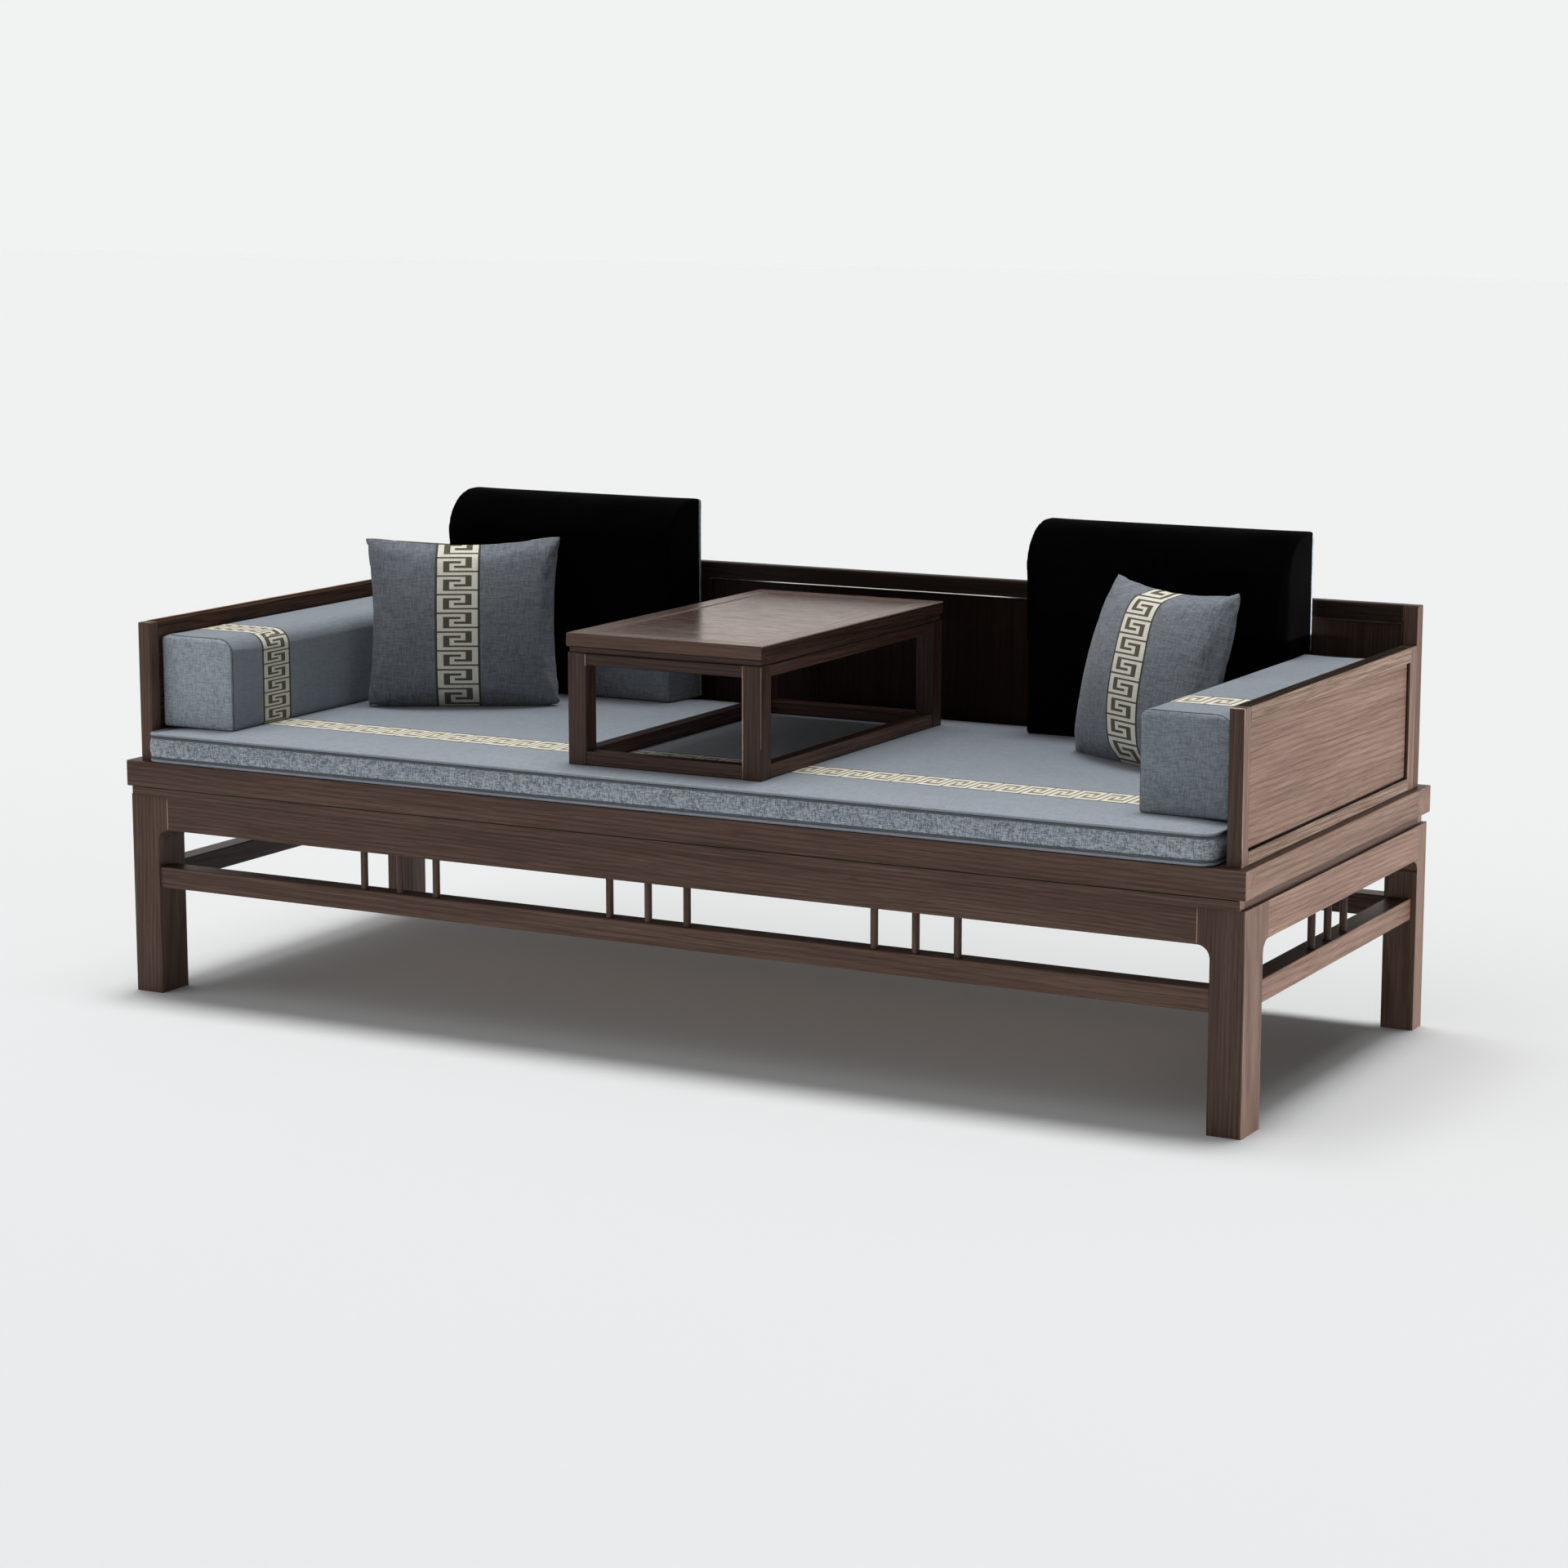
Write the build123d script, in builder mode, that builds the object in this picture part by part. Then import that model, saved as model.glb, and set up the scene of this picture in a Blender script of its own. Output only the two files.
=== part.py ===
from build123d import *
import math
import os

# A luohan daybed: a walnut seat frame on four legs, a framed back and two framed arms, a low
# tea table, and loose upholstery. The origin is on the floor under the middle of the seat
# frame, +Z is up, the sitter looks along -Y and +X is on the right of somebody who faces the
# daybed. Millimetres.

os.makedirs("parts", exist_ok=True)

FRONT, BACK = -1, 1
LEFT, RIGHT = -1, 1
FACES = {FRONT: "front", BACK: "back"}
SIDES = {LEFT: "left", RIGHT: "right"}

# Seat frame
seat_length = 2000.0
seat_depth = 808.0
seat_height = 396.0
seat_rail_height = 43.0
front_rail_width = 40.0
back_rail_width = 60.0
side_rail_width = 70.0
seat_panel_thickness = 15.0
rabbet_width = 10.0
batten_width = 50.0
batten_height = 24.0
batten_spacing = 480.0

# Waist, aprons, legs
waist_height = 15.5
waist_thickness = 18.0
waist_front_inset = 2.0
waist_back_inset = 14.0
waist_side_inset = 9.0
apron_height = 56.0
apron_thickness = 30.0
leg_face_inset = 7.5
leg_side_inset = 1.5
leg_width = 54.5
front_leg_depth = 70.0
back_leg_depth = 42.0
bracket_radius = 20.5
leg_corner_round = 3.0

# Stretchers and spindles
stretcher_top = 217.0
stretcher_height = 35.0
stretcher_width = 37.0
face_stretcher_inset = 3.0
side_stretcher_inset = 10.0
spindle_diameter = 12.0
spindle_inset = 11.0
spindle_spacing = 70.0
spindle_group_spacing = 466.0
spindle_tenon_width = 7.0
spindle_tenon_length = 10.0

# Arms and back
frame_thickness = 24.0
arm_side_inset = 15.0
arm_height = 231.0
arm_front_inset = 21.5
arm_front_post_width = 24.0
arm_back_post_width = 28.0
arm_top_rail_height = 24.0
arm_bottom_rail_height = 20.0
back_inset = 18.0
back_height = 294.0
back_stile_width = 25.0
back_top_rail_height = 27.0
back_bottom_rail_height = 24.0
muntin_width = 24.0
centre_panel_length = 620.0
panel_thickness = 12.0
tongue_thickness = 5.0
tongue_depth = 6.0
bead_width = 4.0
bead_round = 1.5
back_top_round = 4.0

# Joinery
joint_clearance = 0.2
edge_ease = 1.2
leg_tenon_length = 22.0
leg_tenon_width = 30.0
leg_tenon_thickness = 14.0
leg_tenon_inset = 8.5
rail_tenon_length = 18.0
rail_tenon_width = 20.0
rail_tenon_height = 14.0
stub_tenon_length = 12.0
stub_tenon_thickness = 10.0
stub_tenon_shoulder = 9.0
loose_tenon_width = 30.0
loose_tenon_thickness = 8.0
loose_tenon_rise = 9.0
loose_tenon_drop = 14.0

# Tea table
table_width = 350.0
table_length = 632.0
table_height = 209.0
table_offset = 11.5
table_front_gap = 50.0
table_top_thickness = 21.5
table_rail_width = 34.0
table_panel_thickness = 10.0
table_panel_drop = 1.0
table_waist_height = 10.0
table_waist_inset = 4.0
table_waist_thickness = 14.0
table_leg_width = 32.5
table_leg_inset = 1.5
table_apron_height = 19.0
table_apron_thickness = 20.0
table_apron_inset = 1.5
table_foot_rail_height = 22.0
table_foot_rail_width = 24.0
table_tenon_length = 10.0
table_tenon_thickness = 7.0
table_tenon_shoulder = 5.0

# Upholstery
soft_clearance = 0.3
mattress_thickness = 53.7
mattress_side_gap = 11.0
mattress_back_gap = 7.0
mattress_front_inset = 2.0
mattress_corner_round = 14.0
mattress_edge_cut = 4.0
bolster_width = 142.0
bolster_height = 152.0
bolster_front_gap = 54.0
bolster_back_gap = 62.0
bolster_right_shift = 35.0
bolster_right_gap = 22.0
bolster_corner_round = 10.0
bolster_crown_round = 28.0
back_cushion_width = 446.0
back_cushion_depth = 97.0
back_cushion_height = 349.5
back_cushion_round = 85.0
back_cushion_corner_cut = 6.0
left_cushion_gap = 31.0
right_cushion_gap = 1.0
pillow_width = 318.0
pillow_height = 284.0
pillow_thickness = 100.0
pillow_taper = 42.0
pillow_corner_cut = 12.0
left_pillow_turn = 30.0
left_pillow_lean = 10.0
left_pillow_side_gap = 172.0
left_pillow_back_gap = 176.0
right_pillow_turn = -30.0
right_pillow_lean = 16.0
right_pillow_side_gap = 158.0
right_pillow_back_gap = 160.0

# Worked out from the sizes above
half_length = seat_length / 2
half_depth = seat_depth / 2
seat_bottom = seat_height - seat_rail_height
panel_seat = seat_height - seat_panel_thickness
apron_top = seat_bottom - waist_height
apron_bottom = apron_top - apron_height
leg_side = half_length - leg_side_inset
leg_face = half_depth - leg_face_inset
stretcher_bottom = stretcher_top - stretcher_height
rail_widths = {FRONT: front_rail_width, BACK: back_rail_width}
waist_insets = {FRONT: waist_front_inset, BACK: waist_back_inset}
leg_depths = {FRONT: front_leg_depth, BACK: back_leg_depth}
head_reaches = {FRONT: bracket_radius, BACK: 0.0}


def span(side, inner, outer):
    """The limits between two distances from the middle plane, on the left or right of it."""
    return tuple(sorted((side * inner, side * outer)))


def about(middle, width):
    """The limits of a width that is centred on a place."""
    return (middle - width / 2, middle + width / 2)


def grown(limits, clearance):
    """Limits moved apart by a clearance at both ends."""
    return (limits[0] - clearance, limits[1] + clearance)


def block(x, y, z, mode=Mode.ADD):
    """A square-edged block between two limits along each axis."""
    middle = tuple((low + high) / 2 for low, high in (x, y, z))
    with Locations(middle):
        Box(x[1] - x[0], y[1] - y[0], z[1] - z[0], mode=mode)


def member(piece, along, x, y, z):
    """A planed member whose long edges are eased."""
    block(x, y, z)
    chamfer(piece.edges().filter_by(along), edge_ease)


def mortise(x, y, z):
    """The pocket for a tenon, larger than it by the joint clearance all round."""
    block(*(grown(limits, joint_clearance) for limits in (x, y, z)), mode=Mode.SUBTRACT)


def finish(piece, name):
    """Label a finished piece and write its STEP file."""
    piece.part.label = name
    export_step(piece.part, f"parts/{name}.step")


# ---------------------------------------------------------------------------
# Tenons and loose tenons: each function gives the limits of one tenon, and the
# piece it enters is cut with mortise() from the same limits.
# ---------------------------------------------------------------------------

def leg_tenon(side, face):
    """On the top of a leg, up into the front or back seat rail."""
    outer = leg_side - side_rail_width + leg_tenon_width + leg_tenon_inset
    inner_face = half_depth - waist_insets[face] - waist_thickness - joint_clearance
    x = span(side, outer - leg_tenon_width, outer)
    y = span(face, inner_face - leg_tenon_thickness, inner_face)
    return x, y, (seat_bottom, seat_bottom + leg_tenon_length)


def side_rail_tenon(side, face):
    """On the end of a side seat rail, into the front or back rail."""
    shoulder = half_depth - rail_widths[face]
    x = about(side * (half_length - leg_tenon_inset - rail_tenon_width / 2), rail_tenon_width)
    y = span(face, shoulder, shoulder + rail_tenon_length)
    return x, y, about(seat_bottom + leg_tenon_length / 2 + edge_ease, rail_tenon_height)


def batten_tenon(place, face):
    """On the end of a batten, into the front or back rail under the seat panel."""
    shoulder = half_depth - rail_widths[face]
    y = span(face, shoulder, shoulder + stub_tenon_length)
    return about(place, rail_tenon_width), y, about(panel_seat - batten_height / 2, stub_tenon_thickness)


def face_apron_tenon(side, face):
    """On the end of the front or back apron, into the head of a leg."""
    shoulder = leg_side - leg_width - bracket_radius
    x = span(side, shoulder, shoulder + stub_tenon_length)
    y = about(face * (leg_face - apron_thickness / 2), stub_tenon_thickness)
    return x, y, (apron_bottom + stub_tenon_shoulder, apron_top - stub_tenon_shoulder)


def side_apron_tenon(side, face):
    """On the end of a side apron, into the head of a leg."""
    shoulder = leg_face - leg_depths[face] - head_reaches[face]
    x = about(side * (leg_side - apron_thickness / 2), stub_tenon_thickness)
    y = span(face, shoulder, shoulder + stub_tenon_length)
    return x, y, (apron_bottom + stub_tenon_shoulder, apron_top - stub_tenon_shoulder)


def face_stretcher_tenon(side, face):
    """On the end of the front or back stretcher, into the shaft of a leg."""
    shoulder = leg_side - leg_width
    x = span(side, shoulder, shoulder + stub_tenon_length)
    y = about(face * (leg_face - face_stretcher_inset - stretcher_width / 2), stub_tenon_thickness)
    return x, y, (stretcher_bottom + stub_tenon_shoulder, stretcher_top - stub_tenon_shoulder)


def side_stretcher_tenon(side, face):
    """On the end of a side stretcher, into the shaft of a leg."""
    shoulder = leg_face - leg_depths[face]
    x = about(side * (leg_side - side_stretcher_inset - stretcher_width / 2), stub_tenon_thickness)
    y = span(face, shoulder, shoulder + stub_tenon_length)
    return x, y, (stretcher_bottom + stub_tenon_shoulder, stretcher_top - stub_tenon_shoulder)


# Middle planes and openings of the arms and the back
arm_outer = half_length - arm_side_inset
arm_inner = arm_outer - frame_thickness
arm_middle = arm_outer - frame_thickness / 2
arm_top = seat_height + arm_height
arm_front = -half_depth + arm_front_inset
back_rear = half_depth - back_inset
back_front = back_rear - frame_thickness
back_middle = back_rear - frame_thickness / 2
back_top = seat_height + back_height
arm_opening_y = (arm_front + arm_front_post_width, back_front - arm_back_post_width)
arm_opening_z = (seat_height + arm_bottom_rail_height, arm_top - arm_top_rail_height)
back_opening_z = (seat_height + back_bottom_rail_height, back_top - back_top_rail_height)
back_half_length = arm_outer
back_inner_end = back_half_length - back_stile_width
half_centre = centre_panel_length / 2


def arm_loose_tenons(side):
    """Three loose tenons between an arm's bottom rail and the side seat rail."""
    middle = sum(arm_opening_y) / 2
    pitch = (arm_opening_y[1] - arm_opening_y[0]) / 3
    x = about(side * arm_middle, loose_tenon_thickness)
    z = (seat_height - loose_tenon_drop, seat_height + loose_tenon_rise)
    return [(x, about(middle + step * pitch, loose_tenon_width), z) for step in (-1, 0, 1)]


def back_loose_tenons():
    """Three loose tenons between the back's bottom rail and the back seat rail."""
    pitch = half_centre + muntin_width + (back_inner_end - half_centre) / 2
    y = about(back_middle, loose_tenon_thickness)
    z = (seat_height - loose_tenon_drop, seat_height + loose_tenon_rise)
    return [(about(step * pitch, loose_tenon_width), y, z) for step in (-1, 0, 1)]


batten_places = (-batten_spacing, 0.0, batten_spacing)

# ---------------------------------------------------------------------------
# Seat frame: the front and back rails run through, the side rails stand between
# them, and all four are rabbeted for the seat panel.
# ---------------------------------------------------------------------------

panel_half_length = half_length - side_rail_width + rabbet_width
panel_y = (
    -half_depth + front_rail_width - rabbet_width,
    half_depth - back_rail_width + rabbet_width,
)

for face, face_name in FACES.items():
    with BuildPart() as seat_rail:
        rail_y = span(face, half_depth - rail_widths[face], half_depth)
        member(seat_rail, Axis.X, (-half_length, half_length), rail_y, (seat_bottom, seat_height))
        block((-panel_half_length, panel_half_length), panel_y, (panel_seat, seat_height), mode=Mode.SUBTRACT)
        for side in SIDES:
            mortise(*leg_tenon(side, face))
            mortise(*side_rail_tenon(side, face))
        for place in batten_places:
            mortise(*batten_tenon(place, face))
        if face == BACK:
            for tenon in back_loose_tenons():
                mortise(*tenon)
    finish(seat_rail, f"seat_rail_{face_name}")

for side, side_name in SIDES.items():
    with BuildPart() as seat_rail:
        rail_x = span(side, half_length - side_rail_width, half_length)
        rail_y = (-half_depth + front_rail_width, half_depth - back_rail_width)
        member(seat_rail, Axis.Y, rail_x, rail_y, (seat_bottom, seat_height))
        block((-panel_half_length, panel_half_length), rail_y, (panel_seat, seat_height), mode=Mode.SUBTRACT)
        for face in FACES:
            block(*side_rail_tenon(side, face))
        for tenon in arm_loose_tenons(side):
            mortise(*tenon)
    finish(seat_rail, f"seat_rail_{side_name}")

with BuildPart() as seat_panel:
    panel_x = grown((-panel_half_length, panel_half_length), -joint_clearance)
    block(panel_x, grown(panel_y, -joint_clearance), (panel_seat, seat_height))
finish(seat_panel, "seat_panel")

with BuildPart() as seat_battens:
    for place in batten_places:
        batten_y = (-half_depth + front_rail_width, half_depth - back_rail_width)
        block(about(place, batten_width), batten_y, (panel_seat - batten_height, panel_seat))
        for face in FACES:
            block(*batten_tenon(place, face))
finish(seat_battens, "seat_battens")

with BuildPart() as railing_tenons:
    for tenon in arm_loose_tenons(LEFT) + back_loose_tenons() + arm_loose_tenons(RIGHT):
        block(*tenon)
finish(railing_tenons, "railing_tenons")

# ---------------------------------------------------------------------------
# Waist: four strips between the seat frame and the aprons. The long strips run
# through and the short ones stand between them.
# ---------------------------------------------------------------------------

waist_side = half_length - waist_side_inset

for face, face_name in FACES.items():
    with BuildPart() as waist:
        outer = half_depth - waist_insets[face]
        strip_y = span(face, outer - waist_thickness, outer)
        block((-waist_side, waist_side), strip_y, (apron_top, seat_bottom))
    finish(waist, f"waist_{face_name}")

for side, side_name in SIDES.items():
    with BuildPart() as waist:
        strip_y = (
            -half_depth + waist_front_inset + waist_thickness,
            half_depth - waist_back_inset - waist_thickness,
        )
        block(span(side, waist_side - waist_thickness, waist_side), strip_y, (apron_top, seat_bottom))
    finish(waist, f"waist_{side_name}")

# ---------------------------------------------------------------------------
# Legs: square posts whose head is wider on the inside. A rounded bracket leads
# from the shaft to the head, and the apron meets the head where it ends.
# ---------------------------------------------------------------------------


def leg_view(sign, outer, shaft, reach):
    """A leg seen square on: shaft, and where the head reaches further, its rounded bracket."""
    inner = outer - shaft
    with BuildSketch() as view:
        with Locations((outer - shaft / 2, apron_top / 2)):
            Rectangle(shaft, apron_top)
        if reach:
            with BuildLine():
                bracket = CenterArc((inner - reach, apron_bottom - reach), reach, 0, 90)
                Polyline(bracket @ 1, (inner - reach, apron_top), (inner, apron_top), bracket @ 0)
            make_face()
    return view.sketch if sign > 0 else mirror(view.sketch, about=Plane.YZ)


for side, side_name in SIDES.items():
    for face, face_name in FACES.items():
        with BuildPart() as leg:
            with BuildSketch(Plane.XZ):
                add(leg_view(side, leg_side, leg_width, bracket_radius))
            extrude(amount=seat_depth, both=True)
            with BuildSketch(Plane.YZ):
                add(leg_view(face, leg_face, leg_depths[face], head_reaches[face]))
            extrude(amount=seat_length, both=True, mode=Mode.INTERSECT)
            corner = (side * leg_side, face * leg_face, apron_top / 2)
            fillet(leg.edges().filter_by(Axis.Z).sort_by_distance(corner)[0], leg_corner_round)
            neck_side = waist_side - waist_thickness - joint_clearance
            neck_face = half_depth - waist_insets[face] - waist_thickness - joint_clearance
            block(
                span(side, leg_side - leg_width - bracket_radius, neck_side),
                span(face, leg_face - leg_depths[face] - head_reaches[face], neck_face),
                (apron_top, seat_bottom),
            )
            block(*leg_tenon(side, face))
            mortise(*face_apron_tenon(side, face))
            mortise(*side_apron_tenon(side, face))
            mortise(*face_stretcher_tenon(side, face))
            mortise(*side_stretcher_tenon(side, face))
        finish(leg, f"leg_{face_name}_{side_name}")

# ---------------------------------------------------------------------------
# Spindles stand on the stretchers in groups of three and end in the aprons.
# ---------------------------------------------------------------------------

group_steps = (-1, 0, 1)
face_spindle_line = leg_face - face_stretcher_inset - spindle_inset
side_spindle_line = leg_side - side_stretcher_inset - spindle_inset


def face_spindles(face):
    """The places of the spindles along the front or back: three groups of three."""
    return [
        (group * spindle_group_spacing + step * spindle_spacing, face * face_spindle_line)
        for group in group_steps
        for step in group_steps
    ]


def side_spindles(side):
    """The places of the spindles along one side: a single group of three."""
    return [(side * side_spindle_line, step * spindle_spacing) for step in group_steps]


def spindle_mortises(places, level, rises):
    """Square mortises for the ends of spindles, up into an apron or down into a stretcher."""
    for x, y in places:
        z = tuple(sorted((level, level + rises * spindle_tenon_length)))
        mortise(about(x, spindle_tenon_width), about(y, spindle_tenon_width), z)


with BuildPart() as spindles:
    places = face_spindles(FRONT) + face_spindles(BACK) + side_spindles(LEFT) + side_spindles(RIGHT)
    with BuildSketch(Plane.XY.offset(stretcher_top)):
        with Locations(*places):
            Circle(spindle_diameter / 2)
    extrude(amount=apron_bottom - stretcher_top)
    with BuildSketch(Plane.XY.offset(stretcher_top - spindle_tenon_length)):
        with Locations(*places):
            Rectangle(spindle_tenon_width, spindle_tenon_width)
    extrude(amount=apron_bottom - stretcher_top + 2 * spindle_tenon_length)
finish(spindles, "spindles")

# ---------------------------------------------------------------------------
# Aprons and stretchers
# ---------------------------------------------------------------------------

for face, face_name in FACES.items():
    apron_half = leg_side - leg_width - bracket_radius
    with BuildPart() as apron:
        apron_y = span(face, leg_face - apron_thickness, leg_face)
        block((-apron_half, apron_half), apron_y, (apron_bottom, apron_top))
        spindle_mortises(face_spindles(face), apron_bottom, 1)
        for side in SIDES:
            block(*face_apron_tenon(side, face))
    finish(apron, f"apron_{face_name}")

    stretcher_half = leg_side - leg_width
    stretcher_face = leg_face - face_stretcher_inset
    with BuildPart() as stretcher:
        stretcher_y = span(face, stretcher_face - stretcher_width, stretcher_face)
        member(
            stretcher, Axis.X, (-stretcher_half, stretcher_half), stretcher_y, (stretcher_bottom, stretcher_top)
        )
        spindle_mortises(face_spindles(face), stretcher_top, -1)
        for side in SIDES:
            block(*face_stretcher_tenon(side, face))
    finish(stretcher, f"stretcher_{face_name}")

# The front leg has the whole bracket in its head. The back leg is shallow, so the side apron
# carries the bracket there, cut in one piece with it.
side_apron_y = (
    -leg_face + front_leg_depth + bracket_radius,
    leg_face - back_leg_depth,
)
side_stretcher_y = (-leg_face + front_leg_depth, leg_face - back_leg_depth)

for side, side_name in SIDES.items():
    with BuildPart() as apron:
        with BuildSketch(Plane.YZ.offset(side * (leg_side - apron_thickness / 2))):
            with BuildLine():
                bracket_centre = (side_apron_y[1] - bracket_radius, apron_bottom - bracket_radius)
                bracket = CenterArc(bracket_centre, bracket_radius, 0, 90)
                Polyline(
                    bracket @ 1, (side_apron_y[0], apron_bottom), (side_apron_y[0], apron_top),
                    (side_apron_y[1], apron_top), bracket @ 0,
                )
            make_face()
        extrude(amount=apron_thickness / 2, both=True)
        spindle_mortises(side_spindles(side), apron_bottom, 1)
        for face in FACES:
            block(*side_apron_tenon(side, face))
    finish(apron, f"apron_{side_name}")

    side_stretcher_face = leg_side - side_stretcher_inset
    with BuildPart() as stretcher:
        stretcher_x = span(side, side_stretcher_face - stretcher_width, side_stretcher_face)
        member(stretcher, Axis.Y, stretcher_x, side_stretcher_y, (stretcher_bottom, stretcher_top))
        spindle_mortises(side_spindles(side), stretcher_top, -1)
        for face in FACES:
            block(*side_stretcher_tenon(side, face))
    finish(stretcher, f"stretcher_{side_name}")

# ---------------------------------------------------------------------------
# Arms and back: posts that run to the top, rails between them, and a sunk panel
# with a tongue in the groove of each member around it.
# ---------------------------------------------------------------------------

groove_width = tongue_thickness + 2 * joint_clearance
groove_depth = tongue_depth + joint_clearance


def arm_groove(side):
    """Cut the groove round an arm's panel into the member being made."""
    block(
        about(side * arm_middle, groove_width), grown(arm_opening_y, groove_depth),
        grown(arm_opening_z, groove_depth), mode=Mode.SUBTRACT,
    )


for side, side_name in SIDES.items():
    arm_x = span(side, arm_inner, arm_outer)
    posts = {
        FRONT: (arm_front, arm_opening_y[0]),
        BACK: (arm_opening_y[1], back_front),
    }
    for face, post_y in posts.items():
        with BuildPart() as post:
            block(arm_x, post_y, (seat_height, arm_top))
            chamfer(post.edges().filter_by(Axis.Z) + post.edges().group_by(Axis.Z)[-1], edge_ease)
            arm_groove(side)
        finish(post, f"arm_{side_name}_{FACES[face]}_post")
    rails = {
        "bottom_rail": (seat_height, arm_opening_z[0]),
        "top_rail": (arm_opening_z[1], arm_top),
    }
    for rail_name, rail_z in rails.items():
        with BuildPart() as rail:
            member(rail, Axis.Y, arm_x, arm_opening_y, rail_z)
            arm_groove(side)
            if rail_name == "bottom_rail":
                for tenon in arm_loose_tenons(side):
                    mortise(*tenon)
        finish(rail, f"arm_{side_name}_{rail_name}")
    with BuildPart() as panel:
        panel_limits = [grown(limits, -joint_clearance) for limits in (arm_opening_y, arm_opening_z)]
        tongue_limits = [grown(limits, tongue_depth) for limits in panel_limits]
        block(about(side * arm_middle, panel_thickness), *panel_limits)
        block(about(side * arm_middle, tongue_thickness), *tongue_limits)
    finish(panel, f"arm_{side_name}_panel")

back_y = (back_front, back_rear)
back_openings = {
    "left": (-back_inner_end, -half_centre - muntin_width),
    "centre": (-half_centre, half_centre),
    "right": (half_centre + muntin_width, back_inner_end),
}


def back_grooves():
    """Cut the grooves round the back's panels into the member being made."""
    for opening_x in back_openings.values():
        block(
            grown(opening_x, groove_depth), about(back_middle, groove_width),
            grown(back_opening_z, groove_depth), mode=Mode.SUBTRACT,
        )


for side, side_name in SIDES.items():
    with BuildPart() as stile:
        block(span(side, back_inner_end, back_half_length), back_y, (seat_height, back_top))
        chamfer(stile.edges().filter_by(Axis.Z), edge_ease)
        fillet(stile.edges().filter_by(Axis.X).group_by(Axis.Z)[-1], back_top_round)
        back_grooves()
    finish(stile, f"back_{side_name}_stile")
    with BuildPart() as muntin:
        member(muntin, Axis.Z, span(side, half_centre, half_centre + muntin_width), back_y, back_opening_z)
        back_grooves()
    finish(muntin, f"back_{side_name}_muntin")

with BuildPart() as back_top_rail:
    block((-back_inner_end, back_inner_end), back_y, (back_opening_z[1], back_top))
    fillet(back_top_rail.edges().filter_by(Axis.X).group_by(Axis.Z)[-1], back_top_round)
    back_grooves()
finish(back_top_rail, "back_top_rail")

with BuildPart() as back_bottom_rail:
    member(back_bottom_rail, Axis.X, (-back_inner_end, back_inner_end), back_y, (seat_height, back_opening_z[0]))
    back_grooves()
    for tenon in back_loose_tenons():
        mortise(*tenon)
finish(back_bottom_rail, "back_bottom_rail")

for opening_name, opening_x in back_openings.items():
    board_x = grown(opening_x, -joint_clearance)
    board_z = grown(back_opening_z, -joint_clearance)
    with BuildPart() as panel:
        block(board_x, about(back_middle, panel_thickness), board_z)
        block(grown(board_x, tongue_depth), about(back_middle, tongue_thickness), grown(board_z, tongue_depth))
        bead_plane = Plane.XZ.offset(-back_front - joint_clearance)
        with BuildSketch(bead_plane):
            with Locations((sum(board_x) / 2, sum(board_z) / 2)):
                Rectangle(board_x[1] - board_x[0], board_z[1] - board_z[0])
            offset(amount=-bead_width, mode=Mode.SUBTRACT)
        extrude(amount=-(back_middle - panel_thickness / 2 - back_front - joint_clearance))
        fillet(panel.faces().sort_by(Axis.Y)[0].edges(), bead_round)
    finish(panel, f"back_{opening_name}_panel")

# ---------------------------------------------------------------------------
# Mattress
# ---------------------------------------------------------------------------

mattress_half = arm_inner - mattress_side_gap
mattress_y = (-half_depth + mattress_front_inset, back_front - mattress_back_gap)
mattress_z = (seat_height + soft_clearance, seat_height + soft_clearance + mattress_thickness)

with BuildPart() as mattress:
    block((-mattress_half, mattress_half), mattress_y, mattress_z)
    fillet(mattress.edges().filter_by(Axis.Z), mattress_corner_round)
    chamfer(mattress.faces().filter_by(Axis.Z).edges(), mattress_edge_cut)
finish(mattress, "mattress")

soft_floor = mattress_z[1] + soft_clearance

# ---------------------------------------------------------------------------
# Tea table: a mitred frame round a sunk panel, a moulding under it, and four
# square legs tied by aprons at the top and by floor rails at the foot.
# ---------------------------------------------------------------------------

table_x = about(table_offset, table_width)
table_y = (-half_depth + table_front_gap, -half_depth + table_front_gap + table_length)
table_top = soft_floor + table_height
table_frame_bottom = table_top - table_top_thickness
table_waist_bottom = table_frame_bottom - table_waist_height
table_panel_z = (table_top - table_panel_drop - table_panel_thickness, table_top - table_panel_drop)
table_opening = (grown(table_x, -table_rail_width), grown(table_y, -table_rail_width))
table_tongue_z = about(sum(table_panel_z) / 2, tongue_thickness)


def table_groove():
    """Cut the groove round the table panel into the rail being made."""
    block(
        *(grown(limits, groove_depth) for limits in table_opening),
        grown(table_tongue_z, joint_clearance), mode=Mode.SUBTRACT,
    )


def corners(x, y):
    """The four corners of a rectangle in plan, in order round it."""
    return [(x[0], y[0]), (x[1], y[0]), (x[1], y[1]), (x[0], y[1])]


outside = corners(table_x, table_y)
inside = corners(*table_opening)
for turn, rail_name in enumerate(("front", "right", "back", "left")):
    following = (turn + 1) % len(outside)
    with BuildPart() as table_rail:
        with BuildSketch(Plane.XY.offset(table_frame_bottom)):
            with BuildLine():
                Polyline(outside[turn], outside[following], inside[following], inside[turn], close=True)
            make_face()
        extrude(amount=table_top_thickness)
        face_edges = table_rail.edges().filter_by(GeomType.LINE)
        long_edges = face_edges.filter_by(Axis.X if turn % 2 == 0 else Axis.Y)
        chamfer(long_edges, edge_ease)
        table_groove()
    finish(table_rail, f"table_top_rail_{rail_name}")

with BuildPart() as table_panel:
    board = [grown(limits, -joint_clearance) for limits in table_opening]
    block(*board, table_panel_z)
    block(*(grown(limits, tongue_depth) for limits in board), table_tongue_z)
    chamfer(table_panel.faces().sort_by(Axis.Z)[-1].edges(), edge_ease)
finish(table_panel, "table_top_panel")

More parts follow.
